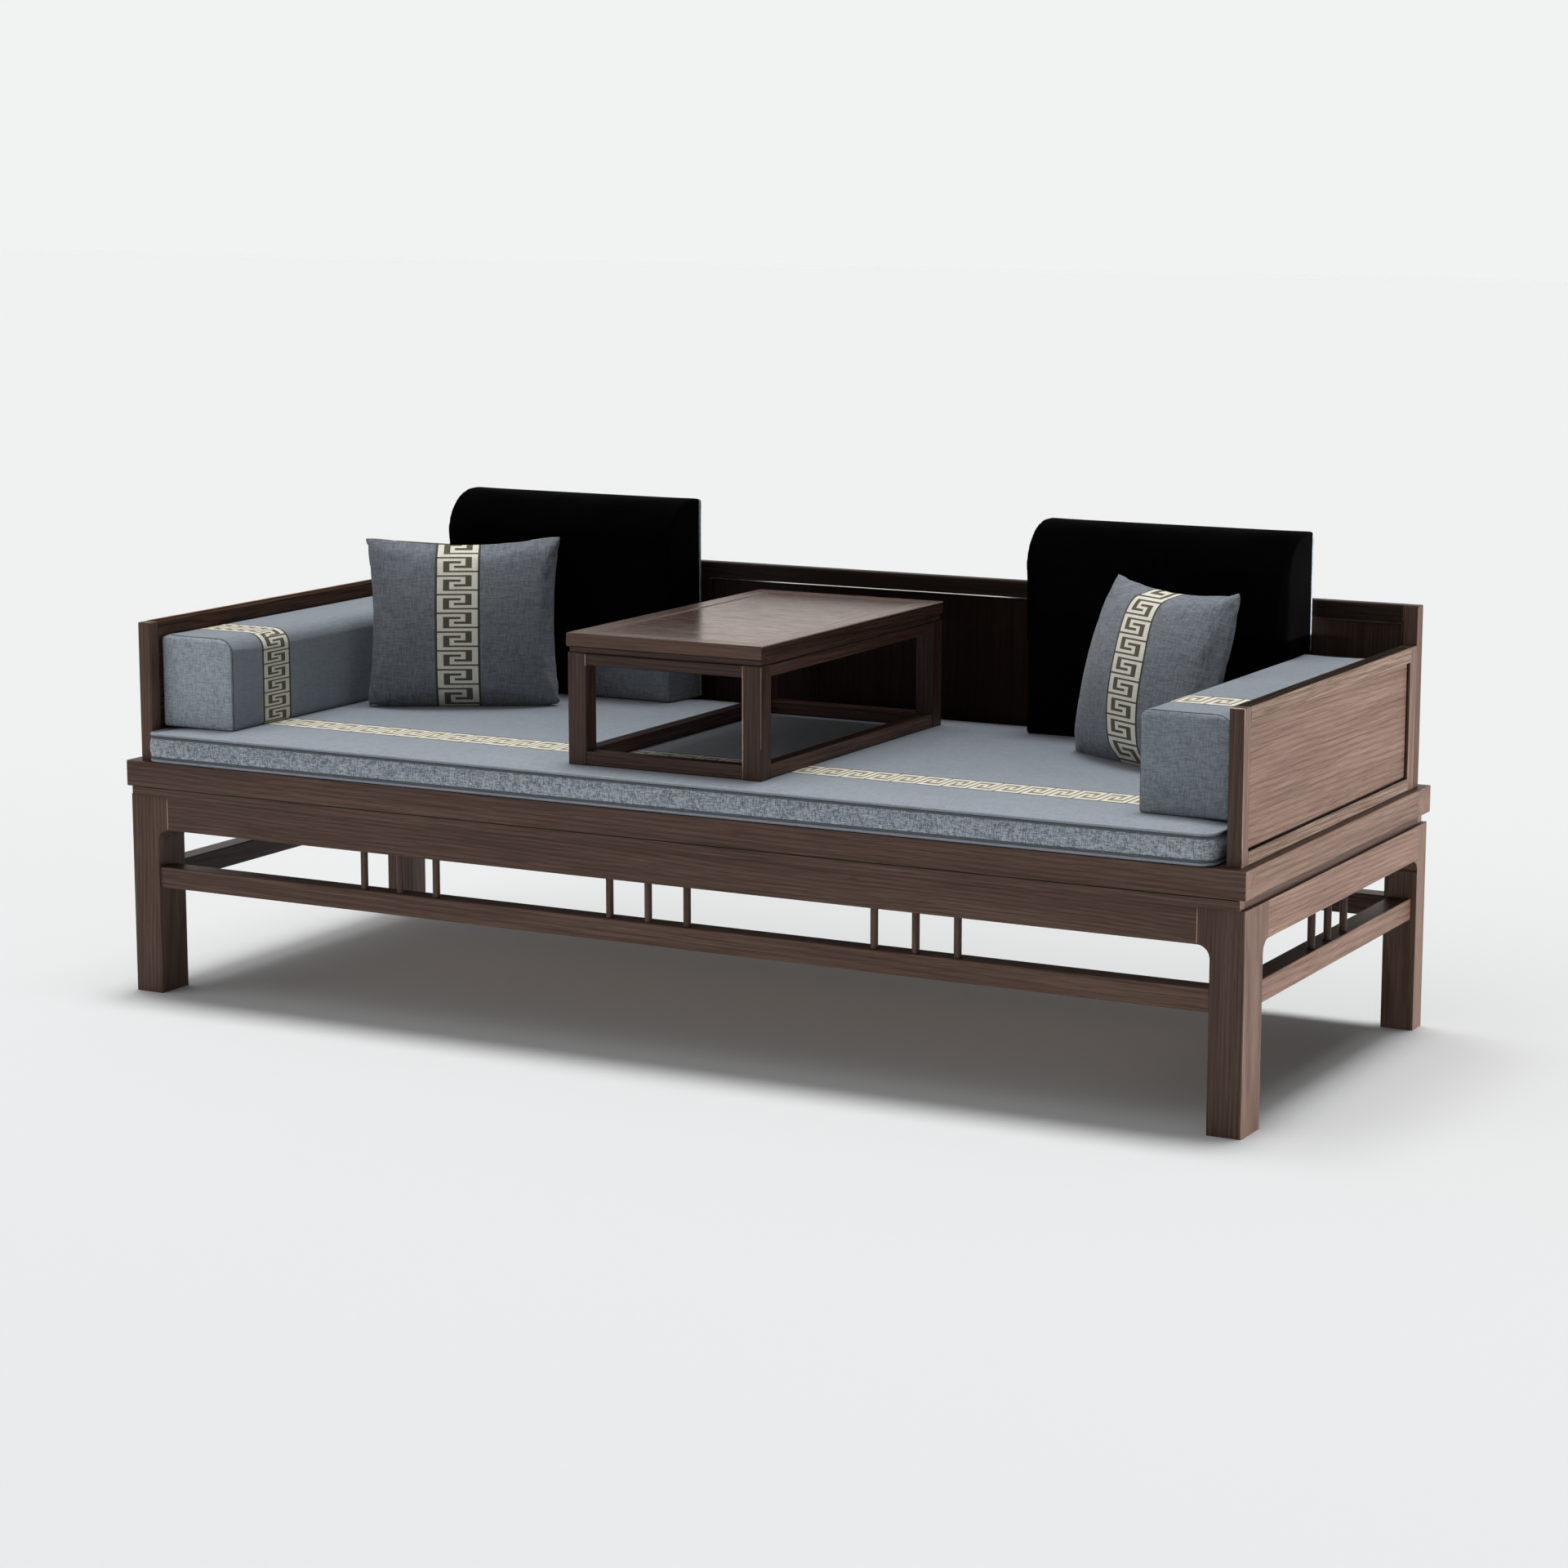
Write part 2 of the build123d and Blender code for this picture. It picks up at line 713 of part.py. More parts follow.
with BuildPart() as table_waist:
    waist_outline = [grown(limits, -table_waist_inset) for limits in (table_x, table_y)]
    for face in FACES:
        edge = waist_outline[1][0 if face == FRONT else 1]
        strip_y = tuple(sorted((edge, edge - face * table_waist_thickness)))
        block(waist_outline[0], strip_y, (table_waist_bottom, table_frame_bottom))
    for side in SIDES:
        edge = waist_outline[0][0 if side == LEFT else 1]
        strip_x = tuple(sorted((edge, edge - side * table_waist_thickness)))
        strip_y = grown(waist_outline[1], -table_waist_thickness - joint_clearance)
        block(strip_x, strip_y, (table_waist_bottom, table_frame_bottom))
finish(table_waist, "table_waist")

leg_outline = [grown(limits, -table_leg_inset) for limits in (table_x, table_y)]
leg_gap = [grown(limits, -table_leg_width) for limits in leg_outline]
apron_outline = [grown(limits, -table_apron_inset) for limits in leg_outline]
table_apron_z = (table_waist_bottom - table_apron_height, table_waist_bottom)
foot_rail_z = (soft_floor, soft_floor + table_foot_rail_height)


def table_rail_limits(axis, side, thickness, z):
    """The limits of an apron or floor rail of the table along X or Y, on one side of it."""
    across = 1 - axis
    edge = apron_outline[across][0 if side < 0 else 1]
    limits = [None, None, z]
    limits[axis] = leg_gap[axis]
    limits[across] = tuple(sorted((edge, edge - side * thickness)))
    return limits


def table_rail_tenons(axis, side, thickness, z):
    """The stub tenons on both ends of a table apron or floor rail."""
    across = 1 - axis
    middle = sum(table_rail_limits(axis, side, thickness, z)[across]) / 2
    tenons = []
    for end, shoulder in zip(SIDES, leg_gap[axis]):
        limits = [None, None, grown(z, -table_tenon_shoulder)]
        limits[axis] = tuple(sorted((shoulder, shoulder + end * table_tenon_length)))
        limits[across] = about(middle, table_tenon_thickness)
        tenons.append(limits)
    return tenons


table_rails = {
    "aprons": (table_apron_thickness, table_apron_z),
    "foot_rails": (table_foot_rail_width, foot_rail_z),
}

with BuildPart() as table_legs:
    for side in SIDES:
        for face in FACES:
            edge_x = leg_outline[0][0 if side == LEFT else 1]
            edge_y = leg_outline[1][0 if face == FRONT else 1]
            leg_x = tuple(sorted((edge_x, edge_x - side * table_leg_width)))
            leg_y = tuple(sorted((edge_y, edge_y - face * table_leg_width)))
            block(leg_x, leg_y, (soft_floor, table_waist_bottom))
    chamfer(table_legs.edges().filter_by(Axis.Z), edge_ease)
    for thickness, rail_z in table_rails.values():
        for axis in (0, 1):
            for side in SIDES:
                for tenon in table_rail_tenons(axis, side, thickness, rail_z):
                    mortise(*tenon)
finish(table_legs, "table_legs")

for rails_name, (thickness, rail_z) in table_rails.items():
    with BuildPart() as rails:
        for axis in (0, 1):
            for side in SIDES:
                block(*table_rail_limits(axis, side, thickness, rail_z))
        chamfer(rails.edges().filter_by(lambda edge: edge.length > table_rail_width), edge_ease)
        for axis in (0, 1):
            for side in SIDES:
                for tenon in table_rail_tenons(axis, side, thickness, rail_z):
                    block(*tenon)
    finish(rails, f"table_{rails_name}")

# ---------------------------------------------------------------------------
# Bolsters: square in section, with a fuller curve along one top edge.
# ---------------------------------------------------------------------------

bolster_length = back_front + half_depth - bolster_front_gap - bolster_back_gap
bolster_starts = {
    LEFT: -half_depth + bolster_front_gap,
    RIGHT: -half_depth + bolster_front_gap + bolster_right_shift,
}
bolster_x = {
    LEFT: (-arm_inner + soft_clearance, -arm_inner + soft_clearance + bolster_width),
    RIGHT: (arm_inner - bolster_right_gap - bolster_width, arm_inner - bolster_right_gap),
}

for side, side_name in SIDES.items():
    with BuildPart() as bolster:
        start = bolster_starts[side]
        block(bolster_x[side], (start, start + bolster_length), (soft_floor, soft_floor + bolster_height))
        long_edges = bolster.edges().filter_by(Axis.Y)
        crown = long_edges.group_by(Axis.Z)[-1].sort_by(Axis.X)[-1]
        fillet(crown, bolster_crown_round)
        fillet(bolster.edges().filter_by(Axis.Y).group_by(Axis.Z)[0], bolster_corner_round)
    finish(bolster, f"bolster_{side_name}")

# ---------------------------------------------------------------------------
# Back cushions: a box whose top rolls over from the front to the back edge.
# ---------------------------------------------------------------------------

cushion_x = {
    LEFT: (
        bolster_x[LEFT][1] + left_cushion_gap,
        bolster_x[LEFT][1] + left_cushion_gap + back_cushion_width,
    ),
    RIGHT: (
        bolster_x[RIGHT][0] - right_cushion_gap - back_cushion_width,
        bolster_x[RIGHT][0] - right_cushion_gap,
    ),
}
cushion_back = back_front - soft_clearance
cushion_front = cushion_back - back_cushion_depth
cushion_top = soft_floor + back_cushion_height

for side, side_name in SIDES.items():
    with BuildPart() as back_cushion:
        with BuildSketch(Plane.YZ.offset(cushion_x[side][0])):
            with BuildLine():
                roll_centre = (cushion_front + back_cushion_round, cushion_top - back_cushion_round)
                roll = CenterArc(roll_centre, back_cushion_round, 90, 90)
                Polyline(
                    roll @ 1, (cushion_front, soft_floor), (cushion_back, soft_floor),
                    (cushion_back, cushion_top), roll @ 0,
                )
            make_face()
        extrude(amount=back_cushion_width)
        chamfer(back_cushion.edges().filter_by(Axis.Z), back_cushion_corner_cut)
    finish(back_cushion, f"back_cushion_{side_name}")

# ---------------------------------------------------------------------------
# Scatter pillows: square, thin at the edges and thick in the middle, turned
# about the upright and leaning back.
# ---------------------------------------------------------------------------


def pillow_plane(x, y, turn, lean):
    """The middle plane of a pillow that stands on the mattress: its normal looks back."""
    yaw = math.radians(turn)
    tilt = math.radians(lean)
    along = Vector(math.cos(yaw), math.sin(yaw), 0)
    behind = Vector(-math.sin(yaw), math.cos(yaw), 0)
    upward = behind * math.sin(tilt) + Vector(0, 0, math.cos(tilt))
    height = soft_floor + soft_clearance + pillow_height / 2 * math.cos(tilt)
    return Plane(origin=(x, y, height), x_dir=along, z_dir=along.cross(upward))


pillow_planes = {
    LEFT: pillow_plane(
        bolster_x[LEFT][1] + left_pillow_side_gap, cushion_front - left_pillow_back_gap,
        left_pillow_turn, left_pillow_lean,
    ),
    RIGHT: pillow_plane(
        bolster_x[RIGHT][0] - right_pillow_side_gap, cushion_front - right_pillow_back_gap,
        right_pillow_turn, right_pillow_lean,
    ),
}

for side, side_name in SIDES.items():
    with BuildPart() as pillow:
        for facing in (1, -1):
            with BuildSketch(pillow_planes[side]):
                Rectangle(pillow_width, pillow_height)
                chamfer(vertices(), pillow_corner_cut)
            extrude(amount=facing * pillow_thickness / 2, taper=pillow_taper)
    finish(pillow, f"pillow_{side_name}")
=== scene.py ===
# %% [markdown]
# # A luohan daybed
#
# A luohan daybed is a low wooden couch: a framed seat on four legs, with a framed back and two
# framed arms. On it lie a thin mattress, two box bolsters, two back cushions, two scatter pillows
# and a low tea table. The joinery comes in as finished solids, because a cabinet maker's parts are
# defined by their sizes. What this lesson adds is what sizes can't say: the grain of the walnut,
# the weave and the slack of the linen, the woven bands, and the light.

# %% bring in the joinery
import math
from collections import namedtuple

import bpy
import numpy as np
from mathutils import Matrix, Vector
from mathutils.bvhtree import BVHTree


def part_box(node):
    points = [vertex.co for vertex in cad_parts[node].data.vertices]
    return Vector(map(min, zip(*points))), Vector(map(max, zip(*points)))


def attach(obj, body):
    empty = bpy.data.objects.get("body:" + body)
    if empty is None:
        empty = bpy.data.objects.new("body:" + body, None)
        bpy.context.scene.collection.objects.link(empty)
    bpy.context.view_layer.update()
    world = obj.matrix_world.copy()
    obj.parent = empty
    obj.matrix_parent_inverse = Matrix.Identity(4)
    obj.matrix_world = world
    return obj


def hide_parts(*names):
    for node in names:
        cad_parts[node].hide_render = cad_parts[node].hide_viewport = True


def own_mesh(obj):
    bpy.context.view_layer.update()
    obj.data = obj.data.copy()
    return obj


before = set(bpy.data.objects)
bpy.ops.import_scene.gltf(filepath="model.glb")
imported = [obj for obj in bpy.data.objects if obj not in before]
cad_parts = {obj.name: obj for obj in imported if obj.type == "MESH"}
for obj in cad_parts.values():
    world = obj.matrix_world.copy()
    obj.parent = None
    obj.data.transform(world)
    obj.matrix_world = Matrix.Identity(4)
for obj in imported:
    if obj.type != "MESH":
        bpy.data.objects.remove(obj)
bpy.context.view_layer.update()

# %% [markdown]
# ## Surfaces on a grid
#
# Every new piece below is a sheet of points: a function of two parameters, worked out for the
# whole grid at once. One helper turns such a grid into a mesh. It joins the last column to the
# first where the sheet is a tube, and turns the faces round where a formula runs the other way.

# %% a grid of points becomes a mesh
def grid_faces(rows, columns, closed=True, flipped=False):
    """Quads of a grid whose corner (i, j) is point i * columns + j. A closed grid wraps in j."""
    i = np.arange(rows - 1)[:, None]
    j = np.arange(columns if closed else columns - 1)[None, :]
    k = (j + 1) % columns
    corners = (i * columns + j, (i + 1) * columns + j, (i + 1) * columns + k, i * columns + k)
    quads = np.stack(corners, axis=-1).reshape(-1, 4)
    return quads[:, ::-1] if flipped else quads


def read(items, field, width=1, kind=float):
    """One field of every item as an array, with one row of width numbers for each item."""
    values = np.empty(len(items) * width, kind)
    items.foreach_get(field, values)
    return values.reshape(-1, width) if width > 1 else values


def shaded_smooth(mesh):
    mesh.polygons.foreach_set("use_smooth", np.ones(len(mesh.polygons), bool))


def mesh_piece(name, points, faces, smooth=True):
    """An object at the origin whose mesh holds these points and these lists of corners."""
    mesh = bpy.data.meshes.new(name)
    mesh.from_pydata(points, [], [face.tolist() for face in faces])
    mesh.update()
    if smooth:
        shaded_smooth(mesh)
    piece = bpy.data.objects.new(name, mesh)
    bpy.context.scene.collection.objects.link(piece)
    return piece


def loft(name, rings, flipped=False):
    """A closed body through rings of equal length: rings[i, j] is point j of ring i.

    The first and the last ring have shrunk to nearly nothing, and one face closes each."""
    count, columns, _ = rings.shape
    walls = list(grid_faces(count, columns, flipped=flipped))
    first = np.arange(columns)
    last = (count - 1) * columns + first
    caps = [first[::-1], last] if flipped else [first, last[::-1]]
    return mesh_piece(name, rings.reshape(-1, 3), walls + caps)


print("grid helpers ready")

# %% [markdown]
# ## Small tools for shader trees
#
# A procedural finish is a tree of nodes. Writing each node by hand hides the idea, so these
# helpers read like arithmetic: each takes sockets or plain numbers and gives back a socket.

# %% shader arithmetic
def join(tree, value, socket):
    """Links a socket, or sets a plain value."""
    if isinstance(value, bpy.types.NodeSocket):
        tree.links.new(value, socket)
    else:
        socket.default_value = value


def calc(tree, operation, *values, clamp=False):
    """One step of arithmetic. clamp holds its result between 0 and 1."""
    node = tree.nodes.new("ShaderNodeMath")
    node.operation = operation
    node.use_clamp = clamp
    for value, socket in zip(values, node.inputs):
        join(tree, value, socket)
    return node.outputs[0]


def scaled(tree, vector, factors):
    """The vector with each coordinate multiplied by its own factor."""
    node = tree.nodes.new("ShaderNodeVectorMath")
    node.operation = "MULTIPLY"
    join(tree, vector, node.inputs[0])
    node.inputs[1].default_value = factors
    return node.outputs[0]


def speckle(tree, vector, detail=2.0, roughness=0.5, distortion=0.0):
    """Noise from 0 to 1 with one blob a unit wide."""
    node = tree.nodes.new("ShaderNodeTexNoise")
    join(tree, vector, node.inputs["Vector"])
    node.inputs["Scale"].default_value = 1.0
    node.inputs["Detail"].default_value = detail
    node.inputs["Roughness"].default_value = roughness
    node.inputs["Distortion"].default_value = distortion
    return node.outputs["Fac"]


def place_on(tree):
    """Object coordinates: where on the piece a point lies, in metres."""
    return tree.nodes.new("ShaderNodeTexCoord").outputs["Object"]


def parts_of(tree, vector):
    """The three coordinates of a vector."""
    node = tree.nodes.new("ShaderNodeSeparateXYZ")
    join(tree, vector, node.inputs[0])
    return node.outputs[0], node.outputs[1], node.outputs[2]


def point_of(tree, x, y, z):
    """A vector from three coordinates."""
    node = tree.nodes.new("ShaderNodeCombineXYZ")
    for value, socket in zip((x, y, z), node.inputs):
        join(tree, value, socket)
    return node.outputs[0]


def tint(tree, share, first, second):
    """The colour that goes from first to second as share goes from 0 to 1."""
    node = tree.nodes.new("ShaderNodeMix")
    node.data_type = "RGBA"
    join(tree, share, node.inputs[0])
    join(tree, first, node.inputs[6])
    join(tree, second, node.inputs[7])
    return node.outputs[2]


def multiplied(tree, first, second):
    """Two colours, or a colour and a level, multiplied channel by channel."""
    node = tree.nodes.new("ShaderNodeMix")
    node.data_type = "RGBA"
    node.blend_type = "MULTIPLY"
    node.inputs[0].default_value = 1.0
    join(tree, first, node.inputs[6])
    join(tree, second, node.inputs[7])
    return node.outputs[2]


def spread(tree, value, low, high, to_low=0.0, to_high=1.0):
    """Carries the range low..high onto to_low..to_high, and holds the ends."""
    node = tree.nodes.new("ShaderNodeMapRange")
    for key, number in zip(range(5), (value, low, high, to_low, to_high)):
        join(tree, number, node.inputs[key])
    return node.outputs[0]


def shader_group(name, inputs, outputs):
    """A node group with named sockets: inputs are (name, kind, default), outputs (name, kind)."""
    tree = bpy.data.node_groups.new(name, "ShaderNodeTree")
    for label, kind, default in inputs:
        socket = tree.interface.new_socket(label, in_out="INPUT", socket_type=kind)
        if default is not None:
            socket.default_value = default
    for label, kind in outputs:
        tree.interface.new_socket(label, in_out="OUTPUT", socket_type=kind)
    start = tree.nodes.new("NodeGroupInput").outputs
    end = tree.nodes.new("NodeGroupOutput").inputs
    return tree, start, end


def placed(tree, group, **values):
    """A copy of a node group in a material. An underscore stands for a space in a socket's name."""
    node = tree.nodes.new("ShaderNodeGroup")
    node.node_tree = group
    for label, value in values.items():
        join(tree, value, node.inputs[label.replace("_", " ")])
    return node.outputs


def blank_material(name):
    """A material with its Principled shader, and nothing else."""
    material = bpy.data.materials.new(name)
    material.use_nodes = True
    tree = material.node_tree
    return material, tree, tree.nodes["Principled BSDF"].inputs


def relief(tree, height, depth, shader, strength=1.0, rounding=0.0):
    """Lets a height, times depth in metres, tilt the shading. rounding is the radius of the
    edges: the normals there turn from one face to the next, as on a planed arris."""
    node = tree.nodes.new("ShaderNodeBump")
    node.inputs["Strength"].default_value = strength
    node.inputs["Distance"].default_value = depth
    join(tree, height, node.inputs["Height"])
    if rounding:
        arris = tree.nodes.new("ShaderNodeBevel")
        arris.samples = 4
        arris.inputs["Radius"].default_value = rounding
        join(tree, arris.outputs[0], node.inputs["Normal"])
    join(tree, node.outputs[0], shader["Normal"])


FLOAT, COLOUR, VECTOR = "NodeSocketFloat", "NodeSocketColor", "NodeSocketVector"
print("shader helpers ready")

# %% [markdown]
# ## Walnut
#
# Walnut shows three things at once: growth rings that run out as long arches, fine dark and light
# fibres along the board, and short open pores. An image would repeat and would fix the board's
# size, so the figure is worked out in space: rings are distances from a tilted axis, bent by
# noise, and fibres are noise stretched along the grain. The group takes a point whose x runs
# along the grain, so one group serves boards that lie in any direction.

# %% the walnut figure as a node group
walnut_figure, given, out = shader_group(
    "walnut figure",
    [("Point", VECTOR, None), ("Dark", COLOUR, (0.03, 0.015, 0.01, 1)),
     ("Middle", COLOUR, (0.09, 0.05, 0.03, 1)), ("Light", COLOUR, (0.16, 0.09, 0.06, 1)),
     ("Arches", FLOAT, 0.14)],
    [("Colour", COLOUR), ("Roughness", FLOAT), ("Height", FLOAT)],
)
tree = walnut_figure
grain_point = given["Point"]
bend = speckle(tree, scaled(tree, grain_point, (1.3, 7.0, 7.0)), 2.0, 0.5)
sway = speckle(tree, scaled(tree, grain_point, (5.0, 17.0, 17.0)), 2.0, 0.5)
drift = calc(tree, "ADD", calc(tree, "MULTIPLY", calc(tree, "SUBTRACT", bend, 0.5), 0.034),
             calc(tree, "MULTIPLY", calc(tree, "SUBTRACT", sway, 0.5), 0.006))
gx, gy, gz = parts_of(tree, grain_point)
across = calc(tree, "ADD", calc(tree, "ADD", gy, 0.043), drift)
depth_in = calc(tree, "ADD", calc(tree, "MULTIPLY_ADD", drift, 0.7, gz),
                calc(tree, "MULTIPLY_ADD", gx, 0.03, 0.081))
ring = calc(tree, "SQRT", calc(tree, "ADD", calc(tree, "MULTIPLY", across, across),
                               calc(tree, "MULTIPLY", depth_in, depth_in)))
ring_wave = calc(tree, "SINE", calc(tree, "MULTIPLY_ADD", ring, 860.0,
                                    calc(tree, "MULTIPLY", sway, 5.0)))
arches = calc(tree, "POWER", calc(tree, "MULTIPLY_ADD", ring_wave, 0.5, 0.5), 2.5)
bent_point = point_of(tree, gx, calc(tree, "MULTIPLY_ADD", drift, 0.5, gy),
                      calc(tree, "MULTIPLY_ADD", drift, 0.5, gz))
streaks = speckle(tree, scaled(tree, bent_point, (3.2, 360.0, 360.0)), 4.0, 0.72, 0.1)
fibres = speckle(tree, scaled(tree, bent_point, (9.0, 760.0, 760.0)), 2.0, 0.6)
clouds = speckle(tree, scaled(tree, bent_point, (1.6, 26.0, 26.0)), 3.0, 0.6)
tone = calc(tree, "ADD", calc(tree, "MULTIPLY", spread(tree, streaks, 0.30, 0.70), 0.34),
            calc(tree, "MULTIPLY", spread(tree, fibres, 0.27, 0.73), 0.34))
tone = calc(tree, "ADD", tone, calc(tree, "MULTIPLY", spread(tree, clouds, 0.28, 0.72), 0.32))
tone = calc(tree, "ADD", tone, calc(tree, "MULTIPLY", calc(tree, "SUBTRACT", 0.3, arches),
                                    given["Arches"]))
colour = tint(tree, spread(tree, tone, 0.22, 0.50), given["Dark"], given["Middle"])
colour = tint(tree, spread(tree, tone, 0.48, 0.80), colour, given["Light"])
pores = spread(tree, speckle(tree, scaled(tree, bent_point, (26.0, 620.0, 620.0)), 1.0), 0.60, 0.68)
colour = tint(tree, calc(tree, "MULTIPLY", pores, 0.5), colour, given["Dark"])
join(tree, colour, out["Colour"])
join(tree, spread(tree, tone, 0.1, 0.9, 0.09, -0.05), out["Roughness"])
join(tree, calc(tree, "SUBTRACT", tone, pores), out["Height"])
print("walnut figure:", len(tree.nodes), "nodes")

# %% [markdown]
# ## Boards with their own direction
#
# A real frame is cut from boards that run along each member, so the grain turns at every joint.
# Each board gets a material with the same figure, turned along x, y or z, and shifted, so that
# two neighbours never show the same streak. Some solids hold members of two directions, such as
# the table's four aprons; for them the direction switches where the members meet.

# %% a board material
GRAIN_TURNS = {"x": (0, 0, 0), "y": (0, 0, -math.pi / 2), "z": (0, math.pi / 2, 0)}
BED_TONES = ((0.050, 0.0275, 0.0192, 1), (0.089, 0.0510, 0.0365, 1), (0.140, 0.087, 0.065, 1))
BACK_SHADE_TONES = ((0.0050, 0.0020, 0.0008, 1), (0.0095, 0.0040, 0.0019, 1), (0.0155, 0.0072, 0.0038, 1))
TABLE_TONES = ((0.020, 0.0095, 0.0065, 1), (0.047, 0.024, 0.0175, 1), (0.080, 0.045, 0.034, 1))
FACING = (0.7, 0.95)  # from here to here in its normal, a face comes to look along an axis


def toned(tones, red, green, blue):
    """The same tones, with each channel multiplied by its own factor."""
    return [(red * r, green * g, blue * b, 1) for r, g, b, _ in tones]


def turned(tree, along, shift):
    """Object coordinates, turned so that the grain runs along x, and moved by shift."""
    node = tree.nodes.new("ShaderNodeMapping")
    node.inputs["Rotation"].default_value = GRAIN_TURNS[along]
    node.inputs["Location"].default_value = shift
    join(tree, place_on(tree), node.inputs["Vector"])
    return node.outputs[0]


def board(name, along, shift, tones=BED_TONES, arches=0.16, roughness=0.40,
          turn_at=None, gloss=0.22, top=0.36, side=1.0, behind=None, tinted=None):
    """Walnut cut along an axis. turn_at = (middle, reach) changes x boards to y boards nearer
    than reach to the plane y = middle. top is the tone of faces that look up, painted shade
    below 1 and painted light above it, side is the tone of faces that look to +X, painted light,
    behind is the tint of faces that look to +Y, and tinted colours the reflection."""
    material, tree, shader = blank_material(name)
    point = turned(tree, along, shift)
    if turn_at:
        _, y, _ = parts_of(tree, place_on(tree))
        off = calc(tree, "ABSOLUTE", calc(tree, "SUBTRACT", y, turn_at[0]))
        inner = calc(tree, "LESS_THAN", off, turn_at[1])
        node = tree.nodes.new("ShaderNodeMix")
        node.data_type = "VECTOR"
        join(tree, inner, node.inputs[0])
        join(tree, point, node.inputs[4])
        join(tree, turned(tree, "y", shift), node.inputs[5])
        point = node.outputs[1]
    figure = placed(tree, walnut_figure, Point=point, Dark=tones[0], Middle=tones[1],
                    Light=tones[2], Arches=arches)
    normal = tree.nodes.new("ShaderNodeNewGeometry").outputs["Normal"]
    rightward, backward, upward = parts_of(tree, normal)
    # Painted shade on faces that look up, and painted light on faces that look to +X.
    level = spread(tree, upward, *FACING, 1.0, top)
    if side != 1.0:
        level = calc(tree, "MULTIPLY", level, spread(tree, rightward, *FACING, 1.0, side))
    colour = multiplied(tree, figure["Colour"], level)
    if behind:
        colour = tint(tree, spread(tree, backward, *FACING), colour,
                      multiplied(tree, colour, behind))
    join(tree, colour, shader["Base Color"])
    join(tree, calc(tree, "ADD", figure["Roughness"], roughness), shader["Roughness"])
    relief(tree, figure["Height"], 0.0003, shader, 0.4, rounding=0.0016)
    shader["Specular IOR Level"].default_value = gloss
    if tinted:
        shader["Specular Tint"].default_value = tinted
    return material


def laid(name, material):
    """Gives a solid of the joinery one material, in place of its own."""
    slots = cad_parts[name].data.materials
    slots.clear()
    slots.append(material)


print("a board material can be cut along", ", ".join(GRAIN_TURNS))

# %% lay the boards on the joinery
BED_ALONG = {
    "x": ["seat_rail_front", "seat_rail_back", "apron_front", "apron_back", "stretcher_front",
          "stretcher_back", "waist_front", "waist_back", "back_top_rail", "back_bottom_rail",
          "seat_panel"],
    "y": ["seat_rail_left", "seat_rail_right", "apron_left", "apron_right", "stretcher_left",
          "stretcher_right", "waist_left", "waist_right", "arm_left_top_rail",
          "arm_right_top_rail", "arm_left_bottom_rail", "arm_right_bottom_rail",
          "arm_left_panel", "arm_right_panel", "seat_battens"],
    "z": ["leg_front_left", "leg_front_right", "leg_back_left", "leg_back_right", "spindles",
          "arm_left_front_post", "arm_left_back_post", "arm_right_front_post",
          "arm_right_back_post", "back_left_stile", "back_right_stile", "back_left_muntin",
          "back_right_muntin", "back_left_panel", "back_centre_panel", "back_right_panel",
          "railing_tenons"],
}
# The back's boards get near-black tones, painted shade for the shadow that lies on the back.
# A factor on the tones paints some boards lighter or darker, as painted light and shade.
# Three rails of the arms have lost their gloss, and the right arm's two get paler, greyer tones,
# a painted sheen, with their tops in painted shade.
SHADED_BACK_BOARDS = {"back_left_panel", "back_centre_panel", "back_right_panel", "back_top_rail",
          "back_bottom_rail", "back_left_muntin", "back_right_muntin", "back_left_stile",
          "back_right_stile"}
PAINTED_LIGHT_AND_SHADE = {"leg_front_right": 0.78, "arm_right_front_post": 0.72, "waist_left": 0.40,
          "waist_right": 0.40, "apron_right": 1.10, "stretcher_front": 1.15,
          "stretcher_left": 0.60, "arm_left_front_post": 1.25, "leg_back_right": 0.85,
          "leg_front_left": 1.12, "back_right_panel": 0.44, "back_right_stile": 0.55,
          "back_top_rail": 0.17}
DULL = {"arm_left_top_rail", "arm_right_top_rail", "arm_right_bottom_rail"}
PAINTED_SHEEN_TONES = toned(BED_TONES, 1.3, 1.62, 1.8)
boards = {}
for along, names in BED_ALONG.items():
    for turn, name in enumerate(names):
        dark = name in SHADED_BACK_BOARDS
        number = turn % 4
        kind = f"walnut_{'back_' if dark else ''}{along}_{number}"
        tones = BACK_SHADE_TONES if dark else BED_TONES
        if name in PAINTED_LIGHT_AND_SHADE:
            kind, tones = f"walnut_{name}", toned(BED_TONES, *[PAINTED_LIGHT_AND_SHADE[name]] * 3)
        gloss, top = 0.07 if dark else 0.20, 0.36
        # Faces of the back that look to +Y get the bed's tones again, outside the painted shade.
        ratio = [BED_TONES[1][k] / tones[1][k] for k in range(3)]
        if name in DULL:
            kind, gloss = kind.replace("walnut_", "walnut_dull_"), 0.0
            if "right" in name:
                # Paler, greyer tones paint the sheen on the right arm's matt rails.
                kind, tones, top = kind + "_painted_sheen", PAINTED_SHEEN_TONES, 0.24
        if kind not in boards:
            shift = (0.37 * number, 0.173 * number + 0.05, 0.211 * number)
            boards[kind] = board(kind, along, shift, tones, gloss=gloss, top=top,
                                 behind=(*ratio, 1) if dark else None)
        laid(name, boards[kind])

